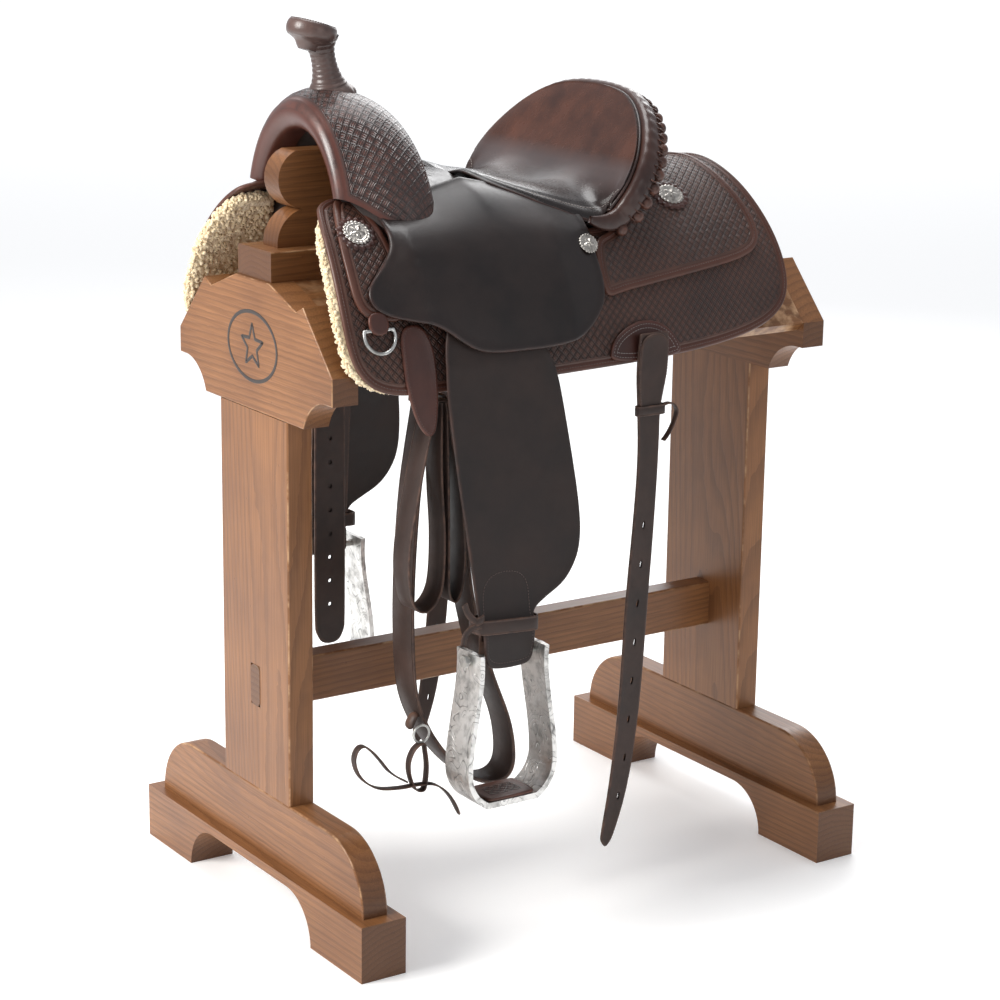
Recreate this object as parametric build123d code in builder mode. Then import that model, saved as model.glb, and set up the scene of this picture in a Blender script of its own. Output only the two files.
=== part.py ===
from build123d import *
import os
from math import cos, radians, sin, sqrt

# A Western saddle on its wooden stand. Millimetres, +Z up, front of the saddle at -X, the rider's
# left side at -Y. The origin is on the floor at the middle of the stand.

LEFT, RIGHT = -1, 1
FRONT, REAR = -1, 1
CLEAR = 0.4                     # gap between touching pieces of leather, wood or metal

# ---- stand ----------------------------------------------------------------------------------
POST_X = 383.5                  # middle of each post, fore and aft
POST_T, POST_W = 38.0, 184.0
POST_FACE = POST_X + POST_T / 2
BASE_T, BASE_HALF, BASE_H = 67.0, 305.0, 78.0
ARCH_HALF, ARCH_H = 172.0, 65.0
CAP_HALF, CAP_R, CAP_TOP = 284.0, 92.0, 170.0
HEAD_BOTTOM, HEAD_TOP = 699.5, 875.0
STRETCHER_T, STRETCHER_H, STRETCHER_Z = 34.0, 66.0, 317.0
TENON_T, TENON_H = 25.0, 58.0
BOARD_T = 19.0
RAIL_HALF, RAIL_W, RAIL_TOP = 398.0, 89.0, 915.0
SPINE_T, SPINE_TOP, SPINE_LOW = 38.0, 1040.0, 929.0
EDGE_ROUND = 3.0
LAG_R, LAG_HEAD_R, DOWEL_R = 5.0, 12.0, 6.0

# ---- saddle side form -----------------------------------------------------------------------
# Each section across the saddle is half of an ellipse: its middle at SPRING_Z, RISE high, and
# half_width(x) wide. Leather layers are offsets from that ellipse, which is the skirt's outside.
SPRING_Z, RISE = 720.0, 290.0
SKIRT_T, FLEECE_T, JOCKEY_T = 5.0, 14.5, 4.0
CHANNEL = 30.0                  # half of the open channel along the saddle's ridge
SECTION_X = (-392.0, -215.0, -30.0, 170.0, 346.0)

# ---- swell, horn, cantle --------------------------------------------------------------------
SWELL_Z = 938.0                 # springing of the swell and the gullet
GULLET_HALF, GULLET_RISE = 103.0, 128.0
COVER_T = 4.5
HORN_FOOT = (-283.0, 0.0, 1104.0)
HORN_LEAN = 12.0
CANTLE_LEAN = 34.5
CANTLE_T = 20.0

# ---- hanging gear ---------------------------------------------------------------------------
FENDER_T, STRAND_T = 4.0, 3.0
BOLT_Y, BOLT_X, BOLT_Z, BOLT_R = 284.0, -190.0, 404.0, 5.0
STIRRUP_FOOT, STIRRUP_D, STIRRUP_T = 205.0, 56.0, 7.0
STIRRUP_TOP_HALF, STIRRUP_FOOT_HALF = 54.0, 70.0
HOBBLE_Z, HOBBLE_H = 437.0, 20.0
STRAND_HALF = 32.0              # half of the stirrup leather's width
BILLET_Y, BILLET_T = 244.6, 3.5
LATIGO_Y, LATIGO_W, LATIGO_T = 196.0, 40.0, 3.0
CINCH_Y, CINCH_W, CINCH_T = 140.0, 52.0, 5.0
CONNECTOR_Y, CONNECTOR_W, CONNECTOR_T = 200.0, 12.0, 2.5
RING_AT, RING_R, RING_WIRE = (-266.0, 284.0), 12.0, 3.0
OFF_BILLET_Y, OFF_BILLET_T = 236.0, 4.0


def half_width(x):
    """Half of the saddle's width at x, widest under the rider's leg."""
    return 243.0 - 0.000078 * (x + 60.0) ** 2 - 0.000022 * max(0.0, x) ** 2


def show_and_save(part, name):
    """Label a finished piece and write it as one STEP file."""
    part.label = name
    export_step(part, f"parts/{name}.step")


def bent_layer(stations, side, z_low, y_min, y_max=300.0):
    """Loft a bent leather or wool layer through sections of (x, inner offset, outer offset)."""
    sections = []
    for x, inner, outer in stations:
        wide = half_width(x)
        with BuildSketch(Plane.YZ.offset(x)) as section:
            with Locations((0, SPRING_Z)):
                Ellipse(wide + outer, RISE + outer)
                Ellipse(wide + inner, RISE + inner, mode=Mode.SUBTRACT)
            with Locations((side * (y_min + y_max) / 2, z_low + 200)):
                Rectangle(y_max - y_min, 400, mode=Mode.INTERSECT)
        sections.append(section.sketch)
    loft(sections, ruled=True)


def even_layer(inner, outer, side, z_low, y_min=CHANNEL):
    bent_layer([(x, inner, outer) for x in SECTION_X], side, z_low, y_min)


def keep_outline(side, points):
    """Keep what lies inside a side-view outline of (x, z) points."""
    with BuildSketch(Plane.XZ) as outline:
        with BuildLine():
            Polyline(*points, close=True)
        make_face()
    extrude(outline.sketch, amount=-side * 400, mode=Mode.INTERSECT)


def side_plate(side, y_inner, thickness, points):
    """A flat upright plate from a side-view outline, its inner face at |y| = y_inner."""
    with BuildSketch(Plane.XZ.offset(-side * y_inner)) as outline:
        with BuildLine():
            Polyline(*points, close=True)
        make_face()
    extrude(outline.sketch, amount=-side * thickness)


def arch_sketch(x, half, rise, z0=SWELL_Z):
    """Half an ellipse standing on z0, in the plane across the saddle at x."""
    with BuildSketch(Plane.YZ.offset(x)) as arch:
        with Locations((0, z0)):
            Ellipse(half, rise)
        with Locations((0, z0 + 200)):
            Rectangle(600, 400, mode=Mode.INTERSECT)
    return arch.sketch


os.makedirs("parts", exist_ok=True)


# ============================== stand ==========================================================
def base_board(end):
    with BuildSketch(Plane.YZ.offset(end * POST_X - BASE_T / 2)) as profile:
        with BuildLine():
            Polyline((ARCH_HALF, 0), (BASE_HALF, 0), (BASE_HALF, BASE_H),
                     (-BASE_HALF, BASE_H), (-BASE_HALF, 0), (-ARCH_HALF, 0))
            RadiusArc((-ARCH_HALF, 0), (-ARCH_HALF + ARCH_H, ARCH_H), ARCH_H)
            Line((-ARCH_HALF + ARCH_H, ARCH_H), (ARCH_HALF - ARCH_H, ARCH_H))
            RadiusArc((ARCH_HALF - ARCH_H, ARCH_H), (ARCH_HALF, 0), ARCH_H)
        make_face()
    extrude(profile.sketch, amount=BASE_T)


def lag_bores(end, z_from, z_to, radius):
    with BuildSketch(Plane.XY.offset(z_from)) as bores:
        with Locations(*[(end * POST_X, y) for y in (-60, 60)]):
            Circle(radius)
    extrude(bores.sketch, amount=z_to - z_from, mode=Mode.SUBTRACT)


def cap_board(end):
    with BuildSketch(Plane.YZ.offset(end * POST_X - POST_T / 2)) as profile:
        with BuildLine():
            Line((-CAP_HALF, BASE_H), (CAP_HALF, BASE_H))
            RadiusArc((CAP_HALF, BASE_H), (CAP_HALF - CAP_R, CAP_TOP), -CAP_R)
            Line((CAP_HALF - CAP_R, CAP_TOP), (CAP_R - CAP_HALF, CAP_TOP))
            RadiusArc((CAP_R - CAP_HALF, CAP_TOP), (-CAP_HALF, BASE_H), -CAP_R)
        make_face()
    extrude(profile.sketch, amount=POST_T)


HEAD_HALF = [(134.0, HEAD_BOTTOM), (150.0, 725.0), (190.0, 742.0), (207.6, 742.0), (207.6, 778.0),
             (134.0, 858.0), (115.0, 849.0), (45.6, HEAD_TOP)]


def head_plate(end):
    foot, mid, shoulder = HEAD_HALF[0], HEAD_HALF[1], HEAD_HALF[2]
    with BuildSketch(Plane.YZ.offset(end * POST_X - POST_T / 2)) as profile:
        with BuildLine():
            ThreePointArc(foot, mid, shoulder)
            Polyline(shoulder, *HEAD_HALF[3:], (-45.6, HEAD_TOP), (-115.0, 849.0), (-134.0, 858.0),
                     (-207.6, 778.0), (-207.6, 742.0), (-190.0, 742.0))
            ThreePointArc((-190.0, 742.0), (-150.0, 725.0), (-134.0, HEAD_BOTTOM))
            Line((-134.0, HEAD_BOTTOM), foot)
        make_face()
    extrude(profile.sketch, amount=POST_T)


def dowel_bores(end, z_from, z_to, ys):
    with BuildSketch(Plane.XY.offset(z_from)) as bores:
        with Locations(*[(end * POST_X, y) for y in ys]):
            Circle(DOWEL_R)
    extrude(bores.sketch, amount=z_to - z_from, mode=Mode.SUBTRACT)


for end, word in ((FRONT, "front"), (REAR, "rear")):
    with BuildPart() as base:
        base_board(end)
        lag_bores(end, 0, BASE_H, LAG_R)
        lag_bores(end, 0, ARCH_H + 6, LAG_HEAD_R)
    show_and_save(base.part, f"{word}_base_board")

    with BuildPart() as cap:
        cap_board(end)
        outer_edges = cap.edges().filter_by(Axis.X, reverse=True).filter_by(
            lambda e: e.center().Z > BASE_H + 1)
        fillet(outer_edges, EDGE_ROUND)
        lag_bores(end, BASE_H, CAP_TOP, LAG_R)
    show_and_save(cap.part, f"{word}_base_cap")

    with BuildPart() as post:
        with BuildSketch(Plane.XY.offset(CAP_TOP)):
            with Locations((end * POST_X, 0)):
                Rectangle(POST_T, POST_W)
        extrude(amount=HEAD_BOTTOM - CAP_TOP)
        fillet(post.edges().filter_by(Axis.Z), EDGE_ROUND)
        lag_bores(end, CAP_TOP, CAP_TOP + 70, LAG_R)
        dowel_bores(end, HEAD_BOTTOM - 40, HEAD_BOTTOM, (-55, 55))
        with Locations((end * POST_X, 0, STRETCHER_Z)):
            Box(POST_T, TENON_T, TENON_H, mode=Mode.SUBTRACT)
    show_and_save(post.part, f"{word}_post")

    with BuildPart() as head:
        head_plate(end)
        show_faces = head.faces().filter_by(Axis.X).sort_by(Axis.X)
        fillet((show_faces[0] if end == FRONT else show_faces[-1]).edges(), EDGE_ROUND - 1)
        dowel_bores(end, HEAD_BOTTOM, HEAD_BOTTOM + 40, (-55, 55))
    show_and_save(head.part, f"{word}_head_plate")

with BuildPart() as lag_screws:
    for end in (FRONT, REAR):
        for y in (-60, 60):
            with BuildSketch(Plane.XY.offset(ARCH_H - 2)):
                with Locations((end * POST_X, y)):
                    RegularPolygon(LAG_HEAD_R - 3, 6)
            extrude(amount=8)
            with BuildSketch(Plane.XY.offset(ARCH_H + 6)):
                with Locations((end * POST_X, y)):
                    Circle(LAG_R - 0.05)
            extrude(amount=CAP_TOP + 68 - ARCH_H - 6)
show_and_save(lag_screws.part, "lag_screws")

with BuildPart() as head_dowels:
    for end in (FRONT, REAR):
        with BuildSketch(Plane.XY.offset(HEAD_BOTTOM - 38)):
            with Locations(*[(end * POST_X, y) for y in (-55, 55)]):
                Circle(DOWEL_R - 0.05)
        extrude(amount=76)
show_and_save(head_dowels.part, "head_dowels")

with BuildPart() as stretcher:
    with Locations((0, 0, STRETCHER_Z)):
        Box(2 * POST_X - POST_T, STRETCHER_T, STRETCHER_H)
    fillet(stretcher.edges().filter_by(Axis.X), EDGE_ROUND)
    with BuildSketch(Plane.YZ.offset(-POST_FACE - 0.6)):
        with Locations((0, STRETCHER_Z)):
            RectangleRounded(TENON_T - 0.1, TENON_H - 0.1, 9)
    extrude(amount=2 * POST_FACE + 1.2)
show_and_save(stretcher.part, "stretcher")

with BuildPart() as ridge_rail:
    with Locations((0, 0, (HEAD_TOP + RAIL_TOP) / 2)):
        Box(2 * RAIL_HALF, RAIL_W, RAIL_TOP - HEAD_TOP)
    fillet(ridge_rail.edges().filter_by(Axis.X).group_by(Axis.Z)[-1], EDGE_ROUND)
show_and_save(ridge_rail.part, "ridge_rail")

with BuildPart() as spine_board:
    with BuildSketch(Plane.XZ.offset(-SPINE_T / 2)):
        with BuildLine():
            ThreePointArc((-374, RAIL_TOP), (-366, 945), (-337, 964))
            ThreePointArc((-337, 964), (-372, 1000), (-346, SPINE_TOP))
            Line((-346, SPINE_TOP), (-300, SPINE_TOP))
            Spline((-300, SPINE_TOP), (-235, 985), (-170, SPINE_LOW),
                   tangents=((1, 0), (1, 0)))
            Line((-170, SPINE_LOW), (320, SPINE_LOW))
            ThreePointArc((320, SPINE_LOW), (336, 925), (345, RAIL_TOP))
            Line((345, RAIL_TOP), (-374, RAIL_TOP))
        make_face()
    extrude(amount=SPINE_T)
show_and_save(spine_board.part, "spine_board")


def roof_board(side, top, foot):
    """One sloping board between the heads, its outside from top to foot, given as (|y|, z)."""
    run, drop = foot[0] - top[0], foot[1] - top[1]
    size = sqrt(run ** 2 + drop ** 2)
    inward = (drop / size * BOARD_T, -run / size * BOARD_T)
    corners = [top, foot, (foot[0] + inward[0], foot[1] + inward[1]),
               (top[0] + inward[0], top[1] + inward[1])]
    with BuildSketch(Plane.YZ.offset(-POST_X + POST_T / 2)) as section:
        with BuildLine():
            Polyline(*[(side * y, z) for y, z in corners], close=True)
        make_face()
    extrude(section.sketch, amount=2 * POST_X - POST_T)


with BuildPart() as roof_boards:
    for side in (LEFT, RIGHT):
        roof_board(side, (46.0, HEAD_TOP - 0.6), (113.0, 849.9))
        roof_board(side, (134.0, 857.6), (207.0, 778.3))
show_and_save(roof_boards.part, "roof_boards")

# ============================== saddle: tree ===================================================
SWELL_STATIONS = ((-342.0, 117.0, 160.0), (-318.0, 132.0, 169.0), (-288.0, 158.0, 169.0),
                  (-262.0, 170.0, 166.0), (-238.0, 168.0, 156.0), (-216.0, 146.0, 134.0),
                  (-202.0, 116.0, 104.0))


def swell_loft(inset, first_x, last_x, mode=Mode.ADD):
    """The swell's outer form, pulled in by inset and cut off at both ends."""
    stations = [(min(max(x, first_x), last_x), half - inset, rise - inset)
                for x, half, rise in SWELL_STATIONS]
    loft([arch_sketch(x, half, rise) for x, half, rise in stations], ruled=True, mode=mode)


def tunnel(half, rise):
    """Cut the gullet right through, and cut away what the skirts and front jockeys fill."""
    extrude(arch_sketch(-400, half, rise, SWELL_Z - 1), amount=280, mode=Mode.SUBTRACT)
    room = JOCKEY_T + 2 * CLEAR
    rows = [arch_sketch(x, half_width(x) + room, RISE + room, SPRING_Z) for x in SECTION_X]
    loft(rows, ruled=True, mode=Mode.SUBTRACT)
    with BuildSketch(Plane.XZ) as front_lift:
        with BuildLine():
            Polyline((-400, 900), (-400, 984), (-320, 984), (-302, 953), (-275, 938), (-275, 900),
                     close=True)
        make_face()
    extrude(front_lift.sketch, amount=300, both=True, mode=Mode.SUBTRACT)


with BuildPart() as tree_fork:
    swell_loft(COVER_T + CLEAR, -330.0, -214.0)
    tunnel(GULLET_HALF + COVER_T + CLEAR, GULLET_RISE + COVER_T + CLEAR)
    with Locations(Location((-281.0, 0, 1094.0), (0, -HORN_LEAN, 0))):
        Cylinder(9.5, 44, mode=Mode.SUBTRACT)
show_and_save(tree_fork.part, "tree_fork")

with BuildPart() as swell_cover:
    swell_loft(0.0, -342.0, -202.0)
    swell_loft(COVER_T, -330.4, -213.6, mode=Mode.SUBTRACT)
    tunnel(GULLET_HALF, GULLET_RISE)
    with Locations(Location((-283.0, 0, 1104.0), (0, -HORN_LEAN, 0))):
        Cylinder(9.5, 30, mode=Mode.SUBTRACT)
show_and_save(swell_cover.part, "swell_cover")

HORN_PLANE = Plane(origin=HORN_FOOT, x_dir=(cos(radians(HORN_LEAN)), 0, sin(radians(HORN_LEAN))),
                   z_dir=(-sin(radians(HORN_LEAN)), 0, cos(radians(HORN_LEAN))))
HORN_CORE_R = 9.0

with BuildPart() as horn_neck:
    for height, radius in ((12, 33), (17, 30), (34, 20), (55, 17), (70, 20)):
        with BuildSketch(HORN_PLANE.offset(height)):
            Circle(radius)
            Circle(HORN_CORE_R + CLEAR, mode=Mode.SUBTRACT)
    loft()
show_and_save(horn_neck.part, "horn_neck")

with BuildPart() as horn:
    cap_plane = Plane(origin=(-312.0, 0, 1187.5), x_dir=(cos(radians(16)), 0, -sin(radians(16))),
                      z_dir=(sin(radians(16)), 0, cos(radians(16))))
    with BuildSketch(cap_plane):
        Ellipse(32.5, 32)
    extrude(amount=15)
    fillet(horn.edges(), 6.5)
    with BuildSketch(HORN_PLANE.offset(-30)):
        Circle(HORN_CORE_R)
    extrude(amount=122)
show_and_save(horn.part, "horn")

# ============================== saddle: bars, skirts, wool, jockeys ============================
SKIRT_OUTLINE = [(-296.0, 922.0), (-304.0, 984.0), (-370.0, 972.0), (-378.0, 950.0), (-385.0, 905.0),
                 (-388.0, 840.0), (-380.0, 795.0), (-350.0, 762.0), (-305.0, 751.0), (-77.0, 756.0),
                 (55.0, 760.0), (236.0, 774.0), (290.0, 788.0), (322.0, 815.0), (333.0, 850.0),
                 (332.0, 894.0), (320.0, 945.0), (306.0, 985.0), (285.0, 1020.0), (196.0, 1020.0),
                 (196.0, 922.0)]
WOOL_OUTLINE = [(-296.0, 920.0), (-306.0, 978.0), (-374.0, 966.0), (-382.0, 945.0), (-390.0, 905.0),
                (-392.0, 840.0), (-383.0, 793.0), (-350.0, 757.0), (-305.0, 746.0), (236.0, 768.0),
                (290.0, 782.0), (318.0, 812.0), (327.0, 850.0), (326.0, 894.0), (314.0, 945.0),
                (300.0, 985.0), (280.0, 1020.0), (196.0, 1020.0), (196.0, 920.0)]
REAR_JOCKEY_OUTLINE = [(6.0, 845.0), (68.0, 853.0), (140.0, 861.0), (215.0, 869.0), (262.0, 876.0),
                       (288.0, 887.0), (298.0, 905.0), (296.0, 930.0), (284.0, 965.0),
                       (268.0, 992.0), (262.0, 1020.0), (142.0, 1020.0), (130.0, 985.0),
                       (110.0, 958.0), (80.0, 938.0), (15.0, 912.0)]
SEAT_JOCKEY_OUTLINE = [(-300.0, 938.0), (-300.0, 847.0), (-276.0, 841.0), (-252.0, 828.0),
                       (-226.0, 807.0), (-200.0, 801.0), (-120.0, 799.0), (-64.0, 804.0),
                       (-30.0, 819.0), (-7.0, 843.0), (0.0, 862.0), (-2.0, 885.0), (-12.0, 905.0),
                       (-40.0, 912.0), (-120.0, 940.0)]
FRONT_JOCKEY_OUTLINE = [(-341.0, 975.0), (-356.0, 958.0), (-366.0, 925.0), (-369.0, 885.0),
                        (-360.0, 858.0), (-340.0, 848.0), (-301.0, 845.0), (-301.0, 932.0),
                        (-318.0, 938.0), (-325.0, 975.0)]
BAR_STATIONS = ((-294.0, -30.0, -8.0), (-160.0, -36.0, -14.0), (-60.0, -62.0, -40.0),
                (62.0, -62.0, -40.0))
JOCKEY_STATIONS = ((-310.0, 9.0, 13.0), (-285.0, 26.0, 30.0), (-68.0, 26.0, 30.0), (15.0, 10.0, 14.0))

for side, word in ((LEFT, "left"), (RIGHT, "right")):
    with BuildPart() as skirt:
        even_layer(-SKIRT_T, 0.0, side, 740.0)
        keep_outline(side, SKIRT_OUTLINE)
    show_and_save(skirt.part, f"{word}_skirt")

    with BuildPart() as seat_jockey:
        bent_layer(JOCKEY_STATIONS, side, 780.0, 100.0)
        keep_outline(side, SEAT_JOCKEY_OUTLINE)
    show_and_save(seat_jockey.part, f"{word}_seat_jockey")


def both_sides(name, layer, outline):
    """One node holding the left and the right piece, each a separate solid."""
    halves = []
    for side in (LEFT, RIGHT):
        with BuildPart() as half:
            layer(side)
            if outline:
                keep_outline(side, outline)
        halves.append(half.part)
    with BuildPart() as pair:
        add(halves)
    show_and_save(pair.part, name)
    return pair.part


both_sides("fleece_lining", lambda side: even_layer(-SKIRT_T - CLEAR - FLEECE_T, -SKIRT_T - CLEAR,
                                                    side, 735.0), WOOL_OUTLINE)
bars = both_sides("tree_bars", lambda side: bent_layer(BAR_STATIONS, side, 880.0, 60.0, 142.0), None)
both_sides("rear_jockeys", lambda side: even_layer(CLEAR, CLEAR + JOCKEY_T, side, 800.0),
           REAR_JOCKEY_OUTLINE)
both_sides("front_jockeys", lambda side: even_layer(CLEAR, CLEAR + JOCKEY_T, side, 800.0),
           FRONT_JOCKEY_OUTLINE)

# ============================== saddle: seat and cantle ========================================
# Sections across the seat: (x, [(|y|, height of the seat's top)]), from the swell to the cantle.
SEAT_SECTIONS = (
    (-196.0, ((0.0, 1010.0), (55.0, 1016.0), (104.0, 1002.0), (150.0, 975.0))),
    (-146.0, ((0.0, 1003.0), (55.0, 1012.0), (104.0, 998.0), (150.0, 975.0))),
    (-60.0, ((0.0, 975.0), (70.0, 986.0), (128.0, 976.0), (178.0, 944.0))),
    (20.0, ((0.0, 966.0), (80.0, 974.0), (140.0, 962.0), (186.0, 930.0))),
    (40.0, ((0.0, 969.0), (84.0, 977.0), (146.0, 962.0), (188.0, 928.0))),
)
# The cantle's rim on its leaning plane: (|y|, distance up the plane).
CANTLE_RIM = ((0.0, 181.0), (42.0, 179.0), (80.0, 172.0), (112.0, 158.0), (140.0, 137.0),
              (163.0, 111.0), (180.0, 82.0), (188.0, 52.0), (187.0, 26.0), (181.0, 6.0))
CANTLE_FOOT = (50.0, 0.0, 948.0)
SEAT_T, PAD_T, STRAINER_T = 4.0, 9.0, 1.5


def cantle_plane(offset):
    lean = radians(CANTLE_LEAN)
    plane = Plane(origin=CANTLE_FOOT, x_dir=(0, 1, 0), z_dir=(cos(lean), 0, -sin(lean)))
    return plane.offset(offset)


def seat_band(low, high):
    """Loft one layer of the seat, low and high under its finished top."""
    sections = []
    for x, points in SEAT_SECTIONS:
        across = [(-y, z) for y, z in reversed(points[1:])] + list(points)
        with BuildSketch(Plane.YZ.offset(x)) as section:
            with BuildLine():
                upper = Spline(*[(y, z - high) for y, z in across])
                lower = Spline(*[(y, z - low) for y, z in across])
                Line(upper @ 0, lower @ 0)
                Line(upper @ 1, lower @ 1)
            make_face()
        sections.append(section.sketch)
    loft(sections)


def cantle_slab(offset, thickness, grow, cut_below=0.0, mode=Mode.ADD):
    """A slab on the leaning plane, the cantle's rim grown sideways and up by grow."""
    half = [(y + (grow if y else 0.0), v + grow) for y, v in CANTLE_RIM]
    rim = [(-y, v) for y, v in reversed(half[1:])] + half
    with BuildSketch(cantle_plane(offset)) as face:
        with BuildLine():
            Spline(*rim)
            Polyline(rim[-1], (rim[-1][0], cut_below), (rim[0][0], cut_below), rim[0])
        make_face()
    extrude(face.sketch, amount=thickness, mode=mode)


with BuildPart() as ground_seat:
    seat_band(SEAT_T + PAD_T + CLEAR * 2 + STRAINER_T, SEAT_T + PAD_T + CLEAR * 2)
    for side in (LEFT, RIGHT):
        with Locations((0, side * 150, 960)):
            Box(400, 200, 200, mode=Mode.SUBTRACT)
show_and_save(ground_seat.part, "ground_seat")

with BuildPart() as seat_pad:
    seat_band(SEAT_T + PAD_T + CLEAR, SEAT_T + CLEAR)
show_and_save(seat_pad.part, "seat_pad")

with BuildPart() as seat_leather:
    seat_band(SEAT_T, 0.0)
show_and_save(seat_leather.part, "seat_leather")

with BuildPart() as cantle_board:
    cantle_slab(0.0, CANTLE_T, 0.0)
    add(bars, mode=Mode.SUBTRACT)
show_and_save(cantle_board.part, "cantle_board")

with BuildPart() as cantle_facing:
    cantle_slab(-CLEAR - 9.0, 9.0, 0.0, cut_below=7.9)
    split(bisect_by=Plane.XY.offset(984.0), keep=Keep.TOP)
show_and_save(cantle_facing.part, "cantle_facing")

with BuildPart() as cantle_back:
    cantle_slab(CANTLE_T + CLEAR, SEAT_T, 0.0)
show_and_save(cantle_back.part, "cantle_back")

ROLL_T, ROLL_DEEP, ROLL_FRONT = 11.0, 28.0, -7.0
with BuildPart() as cantle_roll:
    cantle_slab(ROLL_FRONT, ROLL_DEEP, ROLL_T)
    cantle_slab(ROLL_FRONT - 5, ROLL_DEEP + 10, CLEAR, cut_below=-5.0, mode=Mode.SUBTRACT)
show_and_save(cantle_roll.part, "cantle_roll")

BEAD_R, BEAD_COUNT = 6.5, 30
with BuildPart() as cantle_lacing:
    with BuildLine(cantle_plane(ROLL_FRONT + ROLL_DEEP + BEAD_R + 2 * CLEAR)) as bead_line:
        Spline(*[(-y - 7, v + 7) for y, v in reversed(CANTLE_RIM[1:])], (0, 188),
               *[(y + 7, v + 7) for y, v in CANTLE_RIM[1:]])
    bead_places = [bead_line.line @ ((k + 0.5) / BEAD_COUNT) for k in range(BEAD_COUNT)]
    with Locations(*bead_places):
        Sphere(BEAD_R)
show_and_save(cantle_lacing.part, "cantle_lacing")

# ============================== silver, rigging and dees =======================================
def side_normal(x, z, side):
    """Outward unit normal of the saddle's side form at height z."""
    y = half_width(x) * sqrt(1 - ((z - SPRING_Z) / RISE) ** 2)
    slope = Vector(0, side * y / half_width(x) ** 2, (z - SPRING_Z) / RISE ** 2)
    return Vector(0, side * y, z), slope.normalized()


def tangent_plane(x, z, side, lift):
    """A plane lying against the side form at (x, z), local x along the saddle, local y up."""
    place, normal = side_normal(x, z, side)
    origin = Vector(x, place.Y, z) + normal * lift
    return Plane(origin=origin, x_dir=(-side, 0, 0), z_dir=normal)


CONCHOS = {"front": (-333.0, 950.0, CLEAR * 2 + JOCKEY_T, 20.0, 20.0),
           "seat": (-8.0, 915.0, 17.0, 14.0, 14.0),
           "rear": (173.0, 958.0, CLEAR * 2 + JOCKEY_T + 3.4, 22.0, 18.0)}
with BuildPart() as conchos:
    for x, z, lift, wide, high in CONCHOS.values():
        for side in (LEFT, RIGHT):
            with BuildSketch(tangent_plane(x, z, side, lift)):
                Ellipse(wide, high)
            extrude(amount=2.0)
            with BuildSketch(tangent_plane(x, z, side, lift + 2.0)):
                Ellipse(wide - 5, high - 5)
            extrude(amount=2.5)
show_and_save(conchos.part, "conchos")

with BuildPart() as rosettes:
    x, z, lift, wide, high = CONCHOS["rear"]
    for side in (LEFT, RIGHT):
        with BuildSketch(tangent_plane(x, z, side, lift - 3.0)):
            Ellipse(wide + 9, high + 8)
        extrude(amount=2.6)
show_and_save(rosettes.part, "rear_rosettes")

DEE_X, DEE_Z, DEE_LIFT, DEE_W, DEE_H, DEE_WIRE = -343.0, 836.0, 5.2, 21.0, 30.0, 4.6
STRAP_OUTLINE = [(-312.0, 842.0), (-268.0, 835.0), (-266.0, 705.0), (-277.0, 692.0), (-302.0, 722.0),
                 (-313.0, 774.0)]
RIGGING_OUTLINE = [(6.0, 764.0), (10.0, 788.0), (32.0, 806.0), (65.0, 812.0), (97.0, 804.0),
                   (117.0, 786.0), (121.0, 768.0)]

for side, word in ((LEFT, "left"), (RIGHT, "right")):
    with BuildPart() as dee:
        with BuildSketch(tangent_plane(DEE_X, DEE_Z, side, DEE_LIFT)):
            with BuildLine():
                Line((-DEE_W, 0), (DEE_W, 0))
                ThreePointArc((DEE_W, 0), (0, -DEE_H), (-DEE_W, 0))
            make_face()
            offset(amount=DEE_WIRE / 2, kind=Kind.ARC)
            with BuildLine():
                Line((-DEE_W, 0), (DEE_W, 0))
                ThreePointArc((DEE_W, 0), (0, -DEE_H), (-DEE_W, 0))
            offset(make_face(mode=Mode.PRIVATE), amount=-DEE_WIRE / 2, mode=Mode.SUBTRACT)
        extrude(amount=DEE_WIRE / 2, both=True)
        fillet(dee.edges(), 1.9)
    show_and_save(dee.part, f"{word}_dee_ring")

with BuildPart() as dee_keepers:
    for side in (LEFT, RIGHT):
        with BuildSketch(tangent_plane(DEE_X, DEE_Z, side, DEE_LIFT)):
            with Locations((0, 1.0)):
                Rectangle(24, 13)
        extrude(amount=4.6, both=True)
        with BuildSketch(tangent_plane(DEE_X, DEE_Z, side, DEE_LIFT)):
            Rectangle(30, 5.6)
        extrude(amount=2.8, both=True, mode=Mode.SUBTRACT)
show_and_save(dee_keepers.part, "dee_keepers")

both_sides("rigging_straps", lambda side: even_layer(CLEAR, 3.6, side, 680.0), STRAP_OUTLINE)
both_sides("rear_rigging_plates", lambda side: even_layer(CLEAR, 3.2, side, 740.0), RIGGING_OUTLINE)


# ============================== fenders, stirrups ==============================================
def hang_section(offset_in, thickness, low_points):
    """Section of a strap that lies off the side form and then hangs: (|y|, z) polygon."""
    tops = (868.0, 845.0, 820.0, 795.0, 770.0)
    inner = [((half_width(BOLT_X) + offset_in) * sqrt(1 - ((z - SPRING_Z) / (RISE + offset_in)) ** 2), z)
             for z in tops] + list(low_points)
    return inner + [(y + thickness, z) for y, z in reversed(inner)]


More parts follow.
